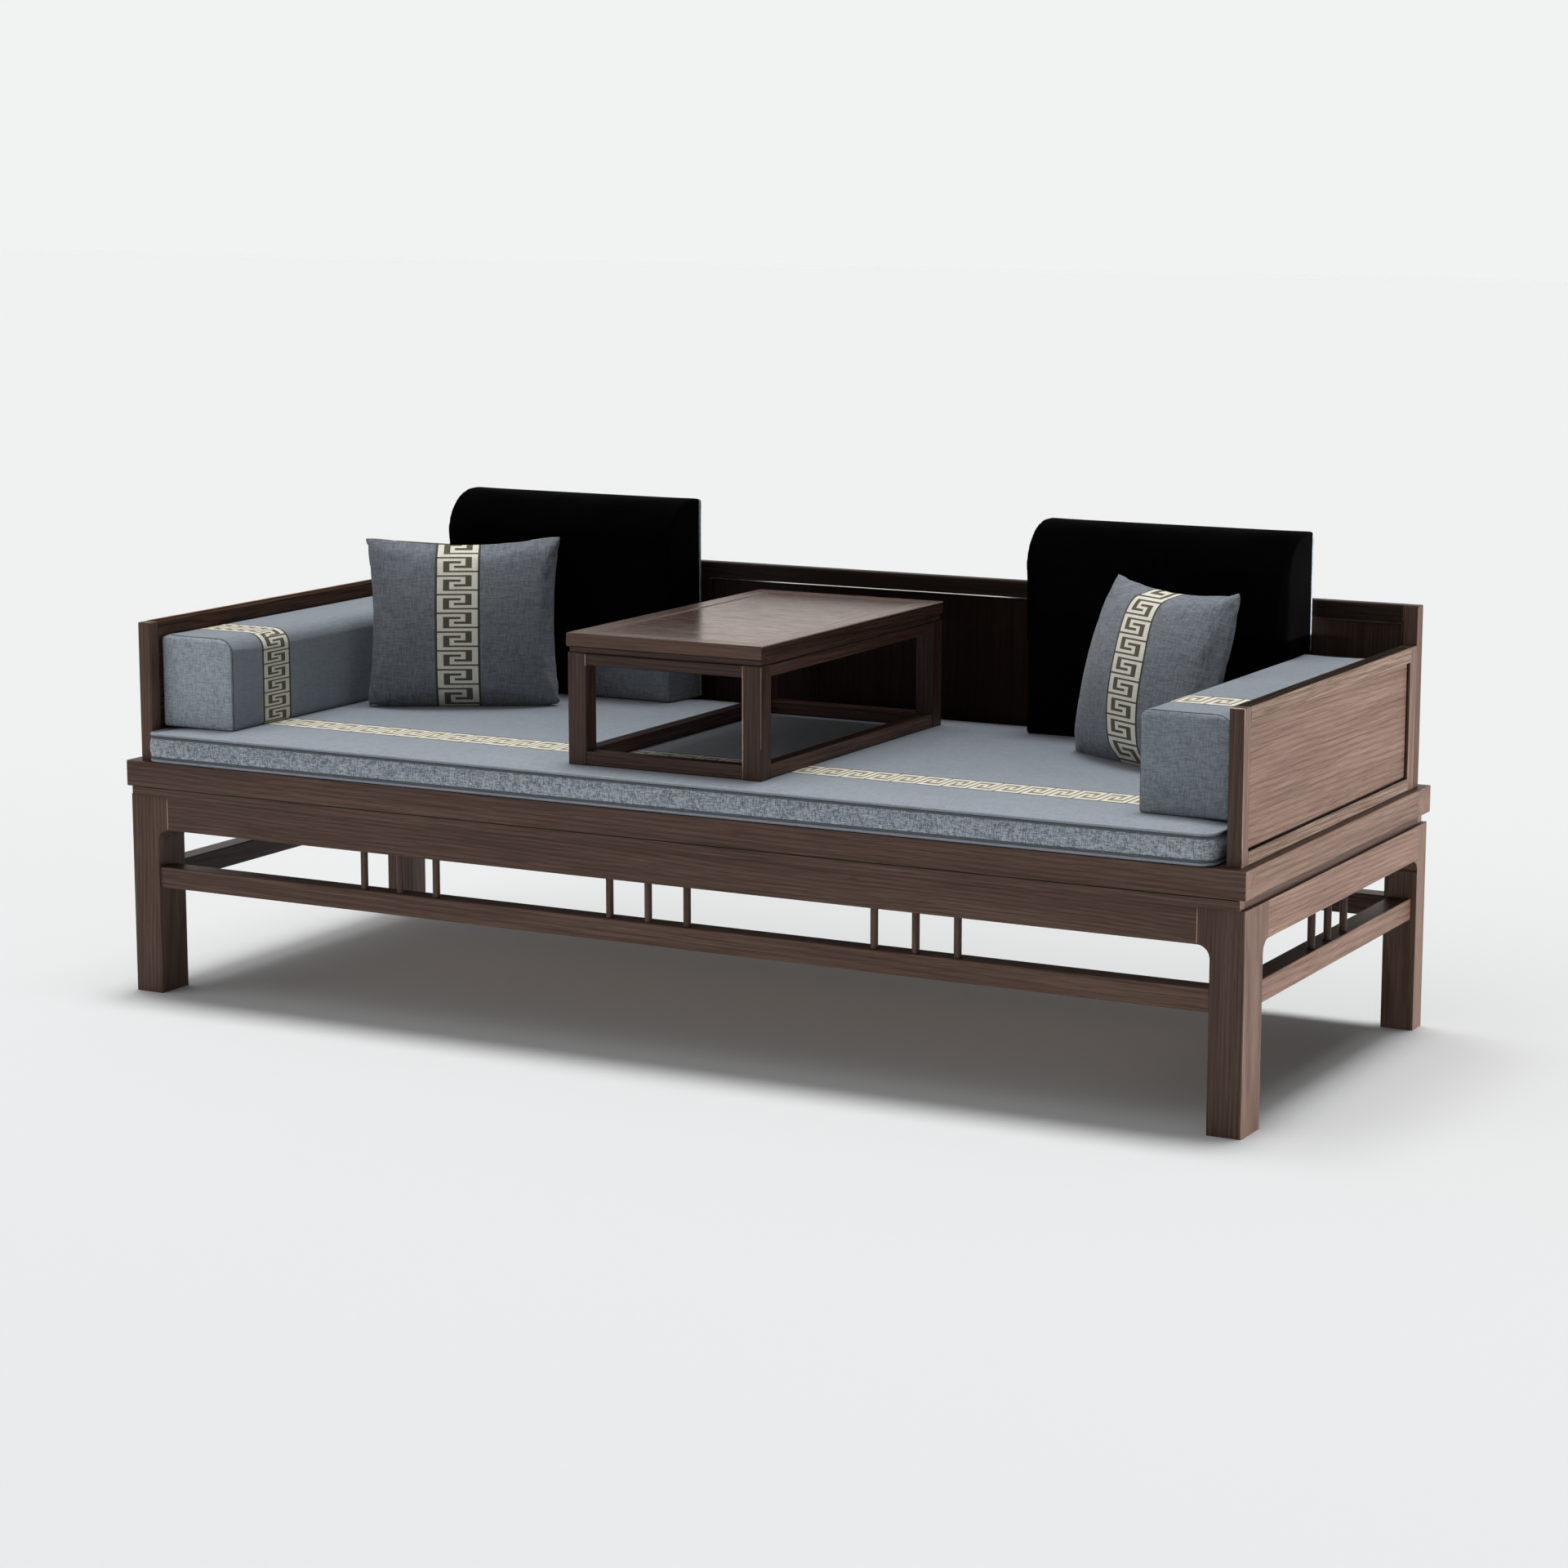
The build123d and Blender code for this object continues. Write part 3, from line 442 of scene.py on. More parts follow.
table_low, table_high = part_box("table_legs")
table_middle = (table_low.y + table_high.y) / 2
table_reach = (table_high.y - table_low.y) / 2 - 0.036
WARM = (1.0, 0.73, 0.61, 1)
# The table's legs and aprons are painted lighter on faces that look to +X, and its right top rail
# is a copy of the table's tones painted 1.6 times lighter, with its top in painted shade.
TABLE_BOARDS = (
    (board("walnut_table_panel", "x", (0.2, 0.31, 0), TABLE_TONES, 0.16, 0.12, gloss=0.78, top=1.05,
           tinted=WARM), ["table_top_panel"]),
    (board("walnut_table_rail_x", "x", (0.7, 0.11, 0.3), TABLE_TONES, 0.14, 0.20, gloss=0.60,
           top=0.95, tinted=WARM), ["table_top_rail_front", "table_top_rail_back"]),
    (board("walnut_table_rail_y", "y", (0.1, 0.5, 0.2), TABLE_TONES, 0.14, 0.20, gloss=0.60,
           top=0.95, tinted=WARM), ["table_top_rail_left"]),
    (board("walnut_table_leg", "z", (0.4, 0.2, 0.6), TABLE_TONES, 0.14, 0.38, side=1.5),
     ["table_legs"]),
    (board("walnut_table_apron", "x", (0.9, 0.4, 0.1), TABLE_TONES, 0.14, 0.38,
           turn_at=(table_middle, table_reach), side=2.4),
     ["table_aprons", "table_foot_rails", "table_waist"]),
    (board("walnut_table_rail_right", "y", (0.3, 0.2, 0.4), toned(TABLE_TONES, 1.6, 1.6, 1.6), 0.14,
           0.20, gloss=0.60, top=0.62, tinted=WARM), ["table_top_rail_right"]),
)
for material, names in TABLE_BOARDS:
    for name in names:
        laid(name, material)
print("boards:", len(boards), "for the bed and", len(TABLE_BOARDS), "for the table")

# %% [markdown]
# ## Painted lines of shadow and highlight
#
# A sunk panel has a fine gap round it, and the shadow in such gaps and under overhangs is painted
# as a dark line. The highlight on a rounded arris is painted as a pale line, and a strip of satin
# metal under the back's top rail stands in for the highlight on the bead. A line a millimetre wide
# could be painted, but it would need a map of its own. So all are thin cords laid along the
# joinery.

# %% a cord along a path
def tube(name, path, radius, sides=8, closed=True, up=(0, 0, 1)):
    """A round cord along a path: at each point a circle stands across the path.

    The circle is spanned by the sideways direction, path x up, and by sideways x path."""
    path = np.asarray(path, float)
    if closed:
        ahead = np.roll(path, -1, 0) - np.roll(path, 1, 0)
    else:
        ahead = np.gradient(path, axis=0)
    ahead /= np.linalg.norm(ahead, axis=1, keepdims=True)
    aside = np.cross(ahead, np.asarray(up, float))
    aside /= np.linalg.norm(aside, axis=1, keepdims=True)
    above = np.cross(aside, ahead)
    angle = np.linspace(0, 2 * math.pi, sides, endpoint=False)
    circle = (aside[:, None] * np.cos(angle)[None, :, None]
              + above[:, None] * np.sin(angle)[None, :, None])
    rings = path[:, None] + radius * circle
    count = len(path)
    if closed:
        faces = list(grid_faces(count + 1, sides) % (count * sides))
    else:
        first = np.arange(sides)
        faces = list(grid_faces(count, sides)) + [first, ((count - 1) * sides + first)[::-1]]
    piece = mesh_piece(name, rings.reshape(-1, 3), faces)
    corner = read(piece.data.loops, "vertex_index", kind=int)
    run = np.concatenate([[0], np.cumsum(np.linalg.norm(np.diff(path, axis=0), axis=1))])
    flat = np.stack([run[corner // sides], (corner % sides) * radius * 2 * math.pi / sides], 1)
    piece.data.uv_layers.new(name="cloth").data.foreach_set("uv", flat.ravel())
    return piece


print("cords can be laid")

# %% woods and metal for the lines
# Near-black wood for painted shadow lines.
SHADOW_LINE_TONES = ((0.0030, 0.0015, 0.0010, 1), (0.0050, 0.0025, 0.0016, 1), (0.0080, 0.0042, 0.0028, 1))
# Pale woods for painted highlights on arrises.
HIGHLIGHT_TONES = ((0.16, 0.10, 0.075, 1), (0.24, 0.16, 0.12, 1), (0.32, 0.23, 0.18, 1))
shadow_line_wood = board("walnut_gap", "y", (0.1, 0.2, 0.3), SHADOW_LINE_TONES, gloss=0.1, top=1.0)
highlight_wood = board("walnut_edge", "z", (0.3, 0.1, 0.2), HIGHLIGHT_TONES, gloss=0.3, top=1.0)
pale_highlight_wood = board("walnut_worn", "z", (0.2, 0.4, 0.2), toned(HIGHLIGHT_TONES, 2.6, 2.6, 2.6), gloss=0.3,
                  top=1.0)
# A satin metal strip stands in for the highlight on the bead.
bead_highlight_metal, tree, shader = blank_material("satin_metal_bead_highlight")
brushed = speckle(tree, scaled(tree, place_on(tree), (40.0, 900.0, 900.0)))
join(tree, tint(tree, brushed, (0.80, 0.80, 0.77, 1), (0.93, 0.93, 0.90, 1)), shader["Base Color"])
join(tree, spread(tree, brushed, 0.2, 0.8, 0.24, 0.38), shader["Roughness"])
shader["Metallic"].default_value = 1.0
print("four finishes for the lines")


# %% lines of the bed
def lined(name, start, end, radius, material, body="daybed_frame"):
    """A straight cord that moves with a body."""
    path = np.linspace(start, end, 5)
    upright = abs(end[2] - start[2]) > 0.01
    piece = tube(name, path, radius, sides=6, closed=False, up=(1, 0, 0) if upright else (0, 0, 1))
    piece.data.materials.append(material)
    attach(piece, body)


arm_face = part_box("arm_right_panel")[1].x
# Dark cords paint the shadow in the reveal below and behind each arm panel.
for side, sign in (("left", -1), ("right", 1)):
    rail_low, rail_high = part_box(f"arm_{side}_bottom_rail")
    face, ledge, lintel = sign * arm_face, rail_high.z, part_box(f"arm_{side}_top_rail")[0].z
    lined(f"arm_{side}_shadow_line_below", (face, rail_low.y + 0.001, ledge + 0.0012),
          (face, rail_high.y - 0.001, ledge + 0.0012), 0.0015, shadow_line_wood)
    lined(f"arm_{side}_shadow_line_behind", (face, rail_high.y - 0.0012, ledge + 0.001),
          (face, rail_high.y - 0.0012, lintel - 0.001), 0.0015, shadow_line_wood)

slab_low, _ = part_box("seat_rail_front")
leg_low, leg_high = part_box("leg_front_right")
apron_low, apron_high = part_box("apron_front")
waist_low, waist_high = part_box("waist_front")
# Dark cords paint the shadow under the seat rail and at the foot of the waist.
for name, reach, y, z, radius in (
        ("high", waist_high.x - 0.003, waist_low.y - 0.0002, slab_low.z - 0.0005, 0.0009),
        ("low", leg_high.x - 0.0025, apron_low.y - 0.0001, apron_high.z + 0.0003, 0.0010)):
    lined(f"front_gap_{name}", (-reach, y, z), (reach, y, z), radius, shadow_line_wood)
# Pale cords paint the highlight at the joints of the legs and the front apron.
for side, sign in (("left", -1), ("right", 1)):
    x, y = sign * (leg_low.x + 0.0001), apron_low.y + 0.0001
    lined(f"front_joint_{side}", (x, y, apron_low.z + 0.001), (x, y, apron_high.z - 0.001), 0.0007,
          pale_highlight_wood)

# The bead runs under the back's top rail, between the muntins. Its strip of satin metal stands
# in for the highlight on the bead.
bead_low, bead_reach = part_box("back_top_rail")[0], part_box("back_right_muntin")[0].x - 0.001
lined("back_bead", (-bead_reach, bead_low.y + 0.0002, bead_low.z - 0.0018),
      (bead_reach, bead_low.y + 0.0002, bead_low.z - 0.0018), 0.0014, bead_highlight_metal)

# Pale cords paint highlights on the left arm's top arris and on the right front post.
left_low, left_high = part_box("arm_left_top_rail")
lined("arm_left_highlight", (left_low.x + 0.0012, left_low.y + 0.002, left_high.z - 0.0006),
      (left_low.x + 0.0012, left_high.y - 0.002, left_high.z - 0.0006), 0.0016, pale_highlight_wood)
post_low, post_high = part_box("arm_right_front_post")
lined("arm_right_highlight_top", (post_low.x + 0.001, post_low.y, post_high.z - 0.0004),
      (post_high.x - 0.001, post_low.y, post_high.z - 0.0004), 0.0008, pale_highlight_wood)
lined("arm_right_highlight_side", (post_high.x - 0.0004, post_low.y + 0.0003, post_low.z + 0.004),
      (post_high.x - 0.0004, post_low.y + 0.0003, post_high.z - 0.001), 0.0007, pale_highlight_wood)
print("lines of the bed laid")

# %% lines of the tea table
leg_wide = 0.0325
foot_low, foot_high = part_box("table_legs")
under_low, under_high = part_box("table_aprons")
beside, before = under_high.x + 0.0001, foot_low.y + 0.0012
# Dark cords paint the shadow along the tops of the table's waist and aprons.
for name, z in (("waist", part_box("table_waist")[1].z), ("apron", under_high.z + 0.0002)):
    corners = [(foot_low.x + 0.002, before, z), (beside, before, z),
               (beside, foot_high.y - 0.002, z)]
    for number, (start, end) in enumerate(zip(corners, corners[1:])):
        lined(f"table_shadow_line_{name}_{number}", start, end, 0.0009, shadow_line_wood, "tea_table")
# Pale cords paint highlights on the table legs' arrises, and a lighter one on its front right
# corner.
top = under_high.z - 0.0008
for name, x, bottom, wood in (("left", foot_low.x + leg_wide, under_low.z + 0.0002, pale_highlight_wood),
                              ("right", foot_high.x - leg_wide, foot_low.z + 0.002, pale_highlight_wood),
                              ("corner", foot_high.x - 0.0006, foot_low.z + 0.0497, highlight_wood)):
    y = foot_low.y + 0.0001
    lined(f"table_highlight_{name}", (x, y, bottom), (x, y, top), 0.0008, wood, "tea_table")
print("lines of the tea table laid")

# %% [markdown]
# ## Linen
#
# Linen yarn is uneven: a thread swells and thins, so the cloth shows short flecks that run along
# both directions, on top of the regular weave. The regular part is a pair of cosine waves. The
# flecks are noise that is read once for each whole thread and runs on along it, so that every
# thread keeps its own light and dark. The group reads a flat coordinate in metres, which the
# cushions get from their own unfolded maps, so the weave bends with the cloth.

# %% the linen weave as a node group
linen_weave, given, out = shader_group(
    "linen weave",
    [("Cloth", VECTOR, None), ("Dark", COLOUR, (0.15, 0.17, 0.2, 1)),
     ("Light", COLOUR, (0.3, 0.33, 0.36, 1)), ("Pitch", FLOAT, 0.0012), ("Slub", FLOAT, 0.5),
     ("Run", FLOAT, 40.0)],
    [("Colour", COLOUR), ("Height", FLOAT)],
)
tree = linen_weave
cu, cv, _ = parts_of(tree, given["Cloth"])
cu_threads = calc(tree, "DIVIDE", cu, given["Pitch"])
cv_threads = calc(tree, "DIVIDE", cv, given["Pitch"])
warp = calc(tree, "COSINE", calc(tree, "MULTIPLY", cu_threads, 2 * math.pi))
weft = calc(tree, "COSINE", calc(tree, "MULTIPLY", cv_threads, 2 * math.pi))
over = calc(tree, "MULTIPLY", calc(tree, "SINE", calc(tree, "MULTIPLY", cu_threads, math.pi)),
            calc(tree, "SINE", calc(tree, "MULTIPLY", cv_threads, math.pi)))
weave = calc(tree, "ADD", calc(tree, "MULTIPLY", calc(tree, "ADD", warp, weft), 0.25),
             calc(tree, "MULTIPLY", over, 0.35))
warp_number = calc(tree, "FLOOR", cu_threads)
weft_number = calc(tree, "FLOOR", cv_threads)
warp_flecks = speckle(tree, point_of(tree, calc(tree, "MULTIPLY", warp_number, 3.71),
                                     calc(tree, "MULTIPLY", cv, given["Run"]), 0.0), 3.0, 0.6)
weft_flecks = speckle(tree, point_of(tree, calc(tree, "MULTIPLY", cu, given["Run"]),
                                     calc(tree, "MULTIPLY", weft_number, 3.71), 7.0), 3.0, 0.6)
patches = speckle(tree, scaled(tree, given["Cloth"], (9.0, 9.0, 9.0)), 2.0, 0.5)
flecks = calc(tree, "ADD", calc(tree, "SUBTRACT", warp_flecks, 0.5),
              calc(tree, "SUBTRACT", weft_flecks, 0.5))
shade = calc(tree, "MULTIPLY_ADD", calc(tree, "MULTIPLY", flecks, given["Slub"]), 2.4, 0.5)
shade = calc(tree, "ADD", shade, calc(tree, "MULTIPLY", weave, 0.10))
uneven = calc(tree, "MULTIPLY", calc(tree, "SUBTRACT", patches, 0.5), 0.22)
shade = calc(tree, "ADD", shade, uneven, clamp=True)
join(tree, tint(tree, shade, given["Dark"], given["Light"]), out["Colour"])
join(tree, calc(tree, "ADD", weave, calc(tree, "MULTIPLY", flecks, 1.6)), out["Height"])
print("linen weave:", len(tree.nodes), "nodes")

# %% [markdown]
# ## The woven band
#
# The bands carry a meander, an ornament of right-angled hooks that weavers have used for ages.
# Each unit is six dark bars on a cream ground, and the second three are the first three turned
# by half a turn. A bar is a test of two distances, so the unit needs no picture: across runs from
# -0.5 to 0.5 between the band's edges, and along counts units.

# %% the meander as a node group
# Left, right, top and bottom of the three bars of a hook.
HOOK_BARS = ((-0.5, 0.352, -0.424, -0.334), (0.198, 0.352, -0.424, 0.19),
             (-0.083, 0.352, 0.062, 0.19))

meander, given, out = shader_group(
    "meander", [("Across", FLOAT, 0.0), ("Along", FLOAT, 0.0)], [("Mask", FLOAT), ("Edge", FLOAT)]
)
tree = meander
unit = calc(tree, "SUBTRACT", calc(tree, "FRACT", calc(tree, "ADD", given["Along"], 0.5)), 0.5)


def bar_mask(across, along, left, right, top, bottom):
    """1 inside the bar, 0 outside."""
    wide = calc(tree, "ABSOLUTE", calc(tree, "SUBTRACT", across, (left + right) / 2))
    tall = calc(tree, "ABSOLUTE", calc(tree, "SUBTRACT", along, (top + bottom) / 2))
    return calc(tree, "MULTIPLY", calc(tree, "LESS_THAN", wide, (right - left) / 2),
                calc(tree, "LESS_THAN", tall, (bottom - top) / 2))


bars = 0.0
for turn in (1.0, -1.0):
    turned_across = calc(tree, "MULTIPLY", given["Across"], turn)
    turned_along = calc(tree, "MULTIPLY", unit, turn)
    for bar in HOOK_BARS:
        bars = calc(tree, "MAXIMUM", bar_mask(turned_across, turned_along, *bar), bars)
side_distance = calc(tree, "ABSOLUTE", given["Across"])
join(tree, bars, out["Mask"])
join(tree, calc(tree, "GREATER_THAN", side_distance, 0.5), out["Edge"])
print("meander:", len(tree.nodes), "nodes")

# %% [markdown]
# ## Cloth finishes
#
# The covers use one weave with different values: smooth on the mattress top and the bolsters,
# fine on the pillows and the backs of the cushions, coarse and flecked on the boxing, and one in
# between on the end panels. A band can be let into any of them. Sheen stands for the loose fibres
# that catch light at a grazing angle.

# %% linen, with and without a band
FINE = dict(Dark=(0.170, 0.195, 0.226, 1), Light=(0.345, 0.380, 0.422, 1), Pitch=0.0015,
            Slub=0.9, Run=50.0)
SMOOTH = dict(Dark=(0.195, 0.222, 0.256, 1), Light=(0.312, 0.345, 0.386, 1), Pitch=0.0014,
              Slub=0.55, Run=50.0)
COARSE = dict(Dark=(0.142, 0.180, 0.210, 1), Light=(0.460, 0.512, 0.545, 1), Pitch=0.0014,
              Slub=1.5, Run=90.0)
END = dict(Dark=(0.190, 0.222, 0.250, 1), Light=(0.365, 0.410, 0.448, 1), Pitch=0.0014,
           Slub=1.0, Run=65.0)
BAND_CREAM = (0.80, 0.775, 0.68, 1)
BAND_DARK = (0.105, 0.092, 0.062, 1)
BAND_EDGE = (0.060, 0.062, 0.045, 1)
BAND_FADED = (0.27, 0.245, 0.175, 1)
Band = namedtuple("Band", "axis middle inner outer pitch phase flip hooks bow",
                  defaults=(0.0, -1, BAND_DARK, None))


def linen(name, weave, band=None, tone=1.0, painted_shade=None):
    """Linen of one weave, with its colours multiplied by tone.

    A band is let in across an axis of the cloth's own map, 0 or 1, round its middle: the meander
    is inner wide, the band outer wide, and a unit pitch long. flip turns it over, and hooks is
    its dark colour. bow = (size, place, reach) bends it aside by size * b^2 * (3 - 2b), where b
    is 1 - d^2 and d is the distance along it from the place, in reaches.
    The last argument, (front, back, pale, deep), paints light at the front and shade at the back:
    it multiplies the colour by pale at front and deep at back."""
    material, tree, shader = blank_material(name)
    node = tree.nodes.new("ShaderNodeUVMap")
    node.uv_map = "cloth"
    cloth = node.outputs[0]
    dark, light = toned((weave["Dark"], weave["Light"]), tone, tone, tone)
    threads = placed(tree, linen_weave, Cloth=cloth, **{**weave, "Dark": dark, "Light": light})
    colour, height = threads["Colour"], threads["Height"]
    if band:
        places = parts_of(tree, cloth)
        across, run = places[band.axis], places[1 - band.axis]
        off = calc(tree, "SUBTRACT", across, band.middle)
        if band.bow:
            size, place, reach = band.bow
            away = calc(tree, "DIVIDE", calc(tree, "SUBTRACT", run, place), reach)
            bent = calc(tree, "SUBTRACT", 1.0, calc(tree, "MULTIPLY", away, away), clamp=True)
            bent = calc(tree, "MULTIPLY", calc(tree, "MULTIPLY", bent, bent),
                        calc(tree, "MULTIPLY_ADD", bent, -2.0, 3.0))
            off = calc(tree, "SUBTRACT", off, calc(tree, "MULTIPLY", bent, size))
        along = calc(tree, "ADD", calc(tree, "DIVIDE", run, -band.pitch), band.phase)
        hook = placed(tree, meander, Across=calc(tree, "DIVIDE", off, band.inner * band.flip),
                      Along=along)
        yarn = placed(tree, linen_weave, Cloth=cloth, Dark=(0.80, 0.80, 0.78, 1),
                      Light=(1.0, 1.0, 1.0, 1), Pitch=0.0011, Slub=0.7)
        woven = tint(tree, hook["Mask"], BAND_CREAM, band.hooks)
        woven = tint(tree, hook["Edge"], woven, BAND_EDGE)
        woven = multiplied(tree, woven, yarn["Colour"])
        inside = calc(tree, "LESS_THAN", calc(tree, "ABSOLUTE", off), band.outer / 2)
        colour = tint(tree, inside, colour, woven)
        height = calc(tree, "ADD", height, calc(tree, "MULTIPLY", inside, 1.5))
    # Painted light at the front and painted shade towards the back.
    if painted_shade:
        _, y, _ = parts_of(tree, place_on(tree))
        colour = multiplied(tree, colour, spread(tree, y, *painted_shade))
    join(tree, colour, shader["Base Color"])
    shader["Roughness"].default_value = 0.92
    shader["Specular IOR Level"].default_value = 0.25
    shader["Sheen Weight"].default_value = 0.12
    relief(tree, height, 0.0003, shader, 0.7)
    return material


def velvet(name):
    """Near-black pile: the nap leans in patches, and those patches are a little lighter."""
    material, tree, shader = blank_material(name)
    point = place_on(tree)
    nap = speckle(tree, scaled(tree, point, (7.0, 7.0, 11.0)), 4.0, 0.6)
    pile = speckle(tree, scaled(tree, point, (700.0, 700.0, 700.0)), 2.0, 0.6)
    lift = calc(tree, "ADD", calc(tree, "MULTIPLY", nap, 0.7), calc(tree, "MULTIPLY", pile, 0.3))
    join(tree, tint(tree, spread(tree, lift, 0.3, 0.75), (0.0003, 0.0003, 0.0004, 1),
                    (0.0014, 0.0014, 0.0017, 1)), shader["Base Color"])
    join(tree, spread(tree, lift, 0.2, 0.8, 0.98, 0.86), shader["Roughness"])
    shader["Specular IOR Level"].default_value = 0.02
    relief(tree, lift, 0.0006, shader, 0.5)
    return material


print("cloth finishes ready")

# %% [markdown]
# ## Stuffed pieces
#
# A cushion is a closed form that its filling pushes out: crowned in the middle of each panel,
# held in at the seams. A bevelled box would look hard, and sculpting can't be repeated. So the
# base form is a rounded profile carried along a line, with rings that shrink at both ends. Then
# the mesh is evened out and blown up a little as cloth, which gives the small slack no formula
# has. Last, whatever rests on a neighbour is pressed flat against it.

# %% profiles and base forms
def rounded_profile(low, high, rounds, steps=9):
    """A rectangle from low to high with a quarter circle at each corner, counter-clockwise.

    rounds gives the radius at bottom-left, bottom-right, top-right and top-left. A corner is
    centre + radius * (cos a, sin a), and each side between two corners has points of its own."""
    corners = []
    for (sx, sy), radius, start in zip(((0, 0), (1, 0), (1, 1), (0, 1)), rounds, (180, 270, 0, 90)):
        centre = np.array([(low[0] + radius, high[0] - radius)[sx],
                           (low[1] + radius, high[1] - radius)[sy]])
        angle = np.radians(np.linspace(start, start + 90, steps))[:, None]
        corners.append(centre + radius * np.hstack([np.cos(angle), np.sin(angle)]))
    sides = []
    for here, after in zip(corners, corners[1:] + corners[:1]):
        share = np.linspace(0, 1, 14)[1:-1, None]
        sides += [here, here[-1] * (1 - share) + after[0] * share]
    return np.vstack(sides)


def stuffed_bar(name, profile, ends, axis, end_round=0.004, crown=0.001, side_rings=40):
    """A profile carried along an axis and closed with crowned ends.

    Ring i sits at distance t along the axis. Over the rounded seam it is inset by
    end_round * (1 - cos a), and over the end panel it shrinks by a factor s while the panel
    bulges by crown * (1 - s^2)."""
    middle = profile.mean(0)
    reach = np.abs(profile - middle).max()
    angle = np.radians(np.linspace(0, 90, 6))
    shrink = np.linspace(0.02, 1.0, 16)[:-1]
    start_factor = np.concatenate([shrink * (1 - end_round / reach),
                                   1 - (end_round - end_round * np.sin(angle)) / reach])
    start_at = np.concatenate([-crown * (1 - shrink ** 2), end_round * (1 - np.cos(angle))])
    length = ends[1] - ends[0]
    along = np.linspace(end_round, length - end_round, side_rings)[1:-1]
    factor = np.concatenate([start_factor, np.ones_like(along), start_factor[::-1]])
    place = np.concatenate([ends[0] + start_at, ends[0] + along, ends[1] - start_at[::-1]])
    flat = middle + factor[:, None, None] * (profile - middle)[None]
    rings = np.zeros((len(factor), len(profile), 3))
    others = [k for k in range(3) if k != axis]
    rings[:, :, others[0]] = flat[:, :, 0]
    rings[:, :, others[1]] = flat[:, :, 1]
    rings[:, :, axis] = place[:, None]
    return loft(name, rings, flipped=(axis == 1))


print("stuffed forms ready")

# %% even out, blow up, press flat
def baked(piece):
    """The piece's mesh with its modifiers worked in."""
    shown = bpy.context.evaluated_depsgraph_get()
    mesh = bpy.data.meshes.new_from_object(piece.evaluated_get(shown), depsgraph=shown)
    piece.modifiers.clear()
    old, piece.data = piece.data, mesh
    bpy.data.meshes.remove(old)
    mesh.name = piece.name


def points_of(piece):
    """The piece's points, one row for each."""
    return read(piece.data.vertices, "co", 3)


def move_points(piece, points):
    """Puts the piece's points elsewhere."""
    piece.data.vertices.foreach_set("co", points.ravel())
    piece.data.update()


def evened(piece, voxel):
    """Covers the piece with faces of one size."""
    remesh = piece.modifiers.new("even", "REMESH")
    remesh.mode = "VOXEL"
    remesh.voxel_size = voxel
    remesh.use_smooth_shade = True
    baked(piece)


def blown_up(piece, pressure, cap, frames=20):
    """Cloth under air pressure, where no point moves further than cap metres.

    The move d becomes cap * tanh(|d| / cap) in the same direction."""
    start = points_of(piece)
    cloth = piece.modifiers.new("air", "CLOTH")
    cloth.settings.quality = 5
    cloth.settings.use_pressure = True
    cloth.settings.uniform_pressure_force = pressure
    cloth.settings.effector_weights.gravity = 0.0
    cloth.settings.bending_stiffness = 0.4
    cloth.point_cache.frame_start, cloth.point_cache.frame_end = 1, frames
    for number in range(1, frames + 1):
        bpy.context.scene.frame_set(number)
    baked(piece)
    bpy.context.scene.frame_set(1)
    move = points_of(piece) - start
    size = np.linalg.norm(move, axis=1, keepdims=True) + 1e-9
    move_points(piece, start + move * cap * np.tanh(size / cap) / size)


def smoothed(piece):
    """One round of subdivision, worked in."""
    finer = piece.modifiers.new("finer", "SUBSURF")
    finer.levels = finer.render_levels = 1
    baked(piece)
    shaded_smooth(piece.data)


def pressed(piece, low, high):
    """Presses the piece flat where it would pass the planes of this box."""
    move_points(piece, np.clip(points_of(piece), low, high))


def fitted(piece, width, height, frame_of):
    """Stretches the piece in its own frame until it has this width and height exactly.

    Each coordinate becomes low + (c - least) / (most - least) * (high - low)."""
    turn, origin = np.array(frame_of.to_3x3()), np.array(frame_of.translation)
    local = (points_of(piece) - origin) @ turn
    least, most = local.min(0), local.max(0)
    low = np.array([-width / 2, -height / 2, least[2]])
    high = np.array([width / 2, height / 2, most[2]])
    local = low + (local - least) / (most - least) * (high - low)
    move_points(piece, local @ turn.T + origin)
    print(" ", piece.name, "stretched by", np.round((high - low) / (most - least), 4))


print("cloth tools ready; simulation", "on")

# %% unfold a cover, and finish a piece
def unfolded(piece, frame_of=None, top_swapped=False, one_way=False):
    """Writes the map called cloth: each face is laid flat along the axis it faces most.

    The map is in metres. frame_of turns the piece upright first, and top_swapped makes the
    map of the top run on from the sides that face left and right. one_way lays every face along
    the piece's own z, as on a pillow."""
    mesh, points = piece.data, points_of(piece)
    normals = read(mesh.polygons, "normal", 3)
    if frame_of is not None:
        turn = np.array(frame_of.to_3x3().transposed())
        points = (points - np.array(frame_of.translation)) @ turn.T
        normals = normals @ turn.T
    facing = np.full(len(normals), 2) if one_way else np.abs(normals).argmax(1)
    table = np.array([(1, 2), (0, 2), (1, 0) if top_swapped else (0, 1)])[facing]
    sizes = read(mesh.polygons, "loop_total", kind=int)
    owner = np.repeat(np.arange(len(sizes)), sizes)
    corner = read(mesh.loops, "vertex_index", kind=int)
    flat = np.take_along_axis(points[corner], table[owner], axis=1)
    mesh.uv_layers.new(name="cloth").data.foreach_set("uv", flat.ravel())
    return normals


def dressed(piece, body, slot_name, materials, *nodes):
    """Gives a finished piece its materials and its body, and hides the solids it stands for."""
    for material in materials:
        piece.data.materials.append(material)
    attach(piece, body)
    if nodes:
        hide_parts(*nodes)


def laid_on(piece, path):
    """Moves each point of a path to the nearest place on the piece."""
    surface = BVHTree.FromObject(piece, bpy.context.evaluated_depsgraph_get())
    return np.array([surface.find_nearest(Vector(point))[0] for point in path])


print("covers can be unfolded and dressed")

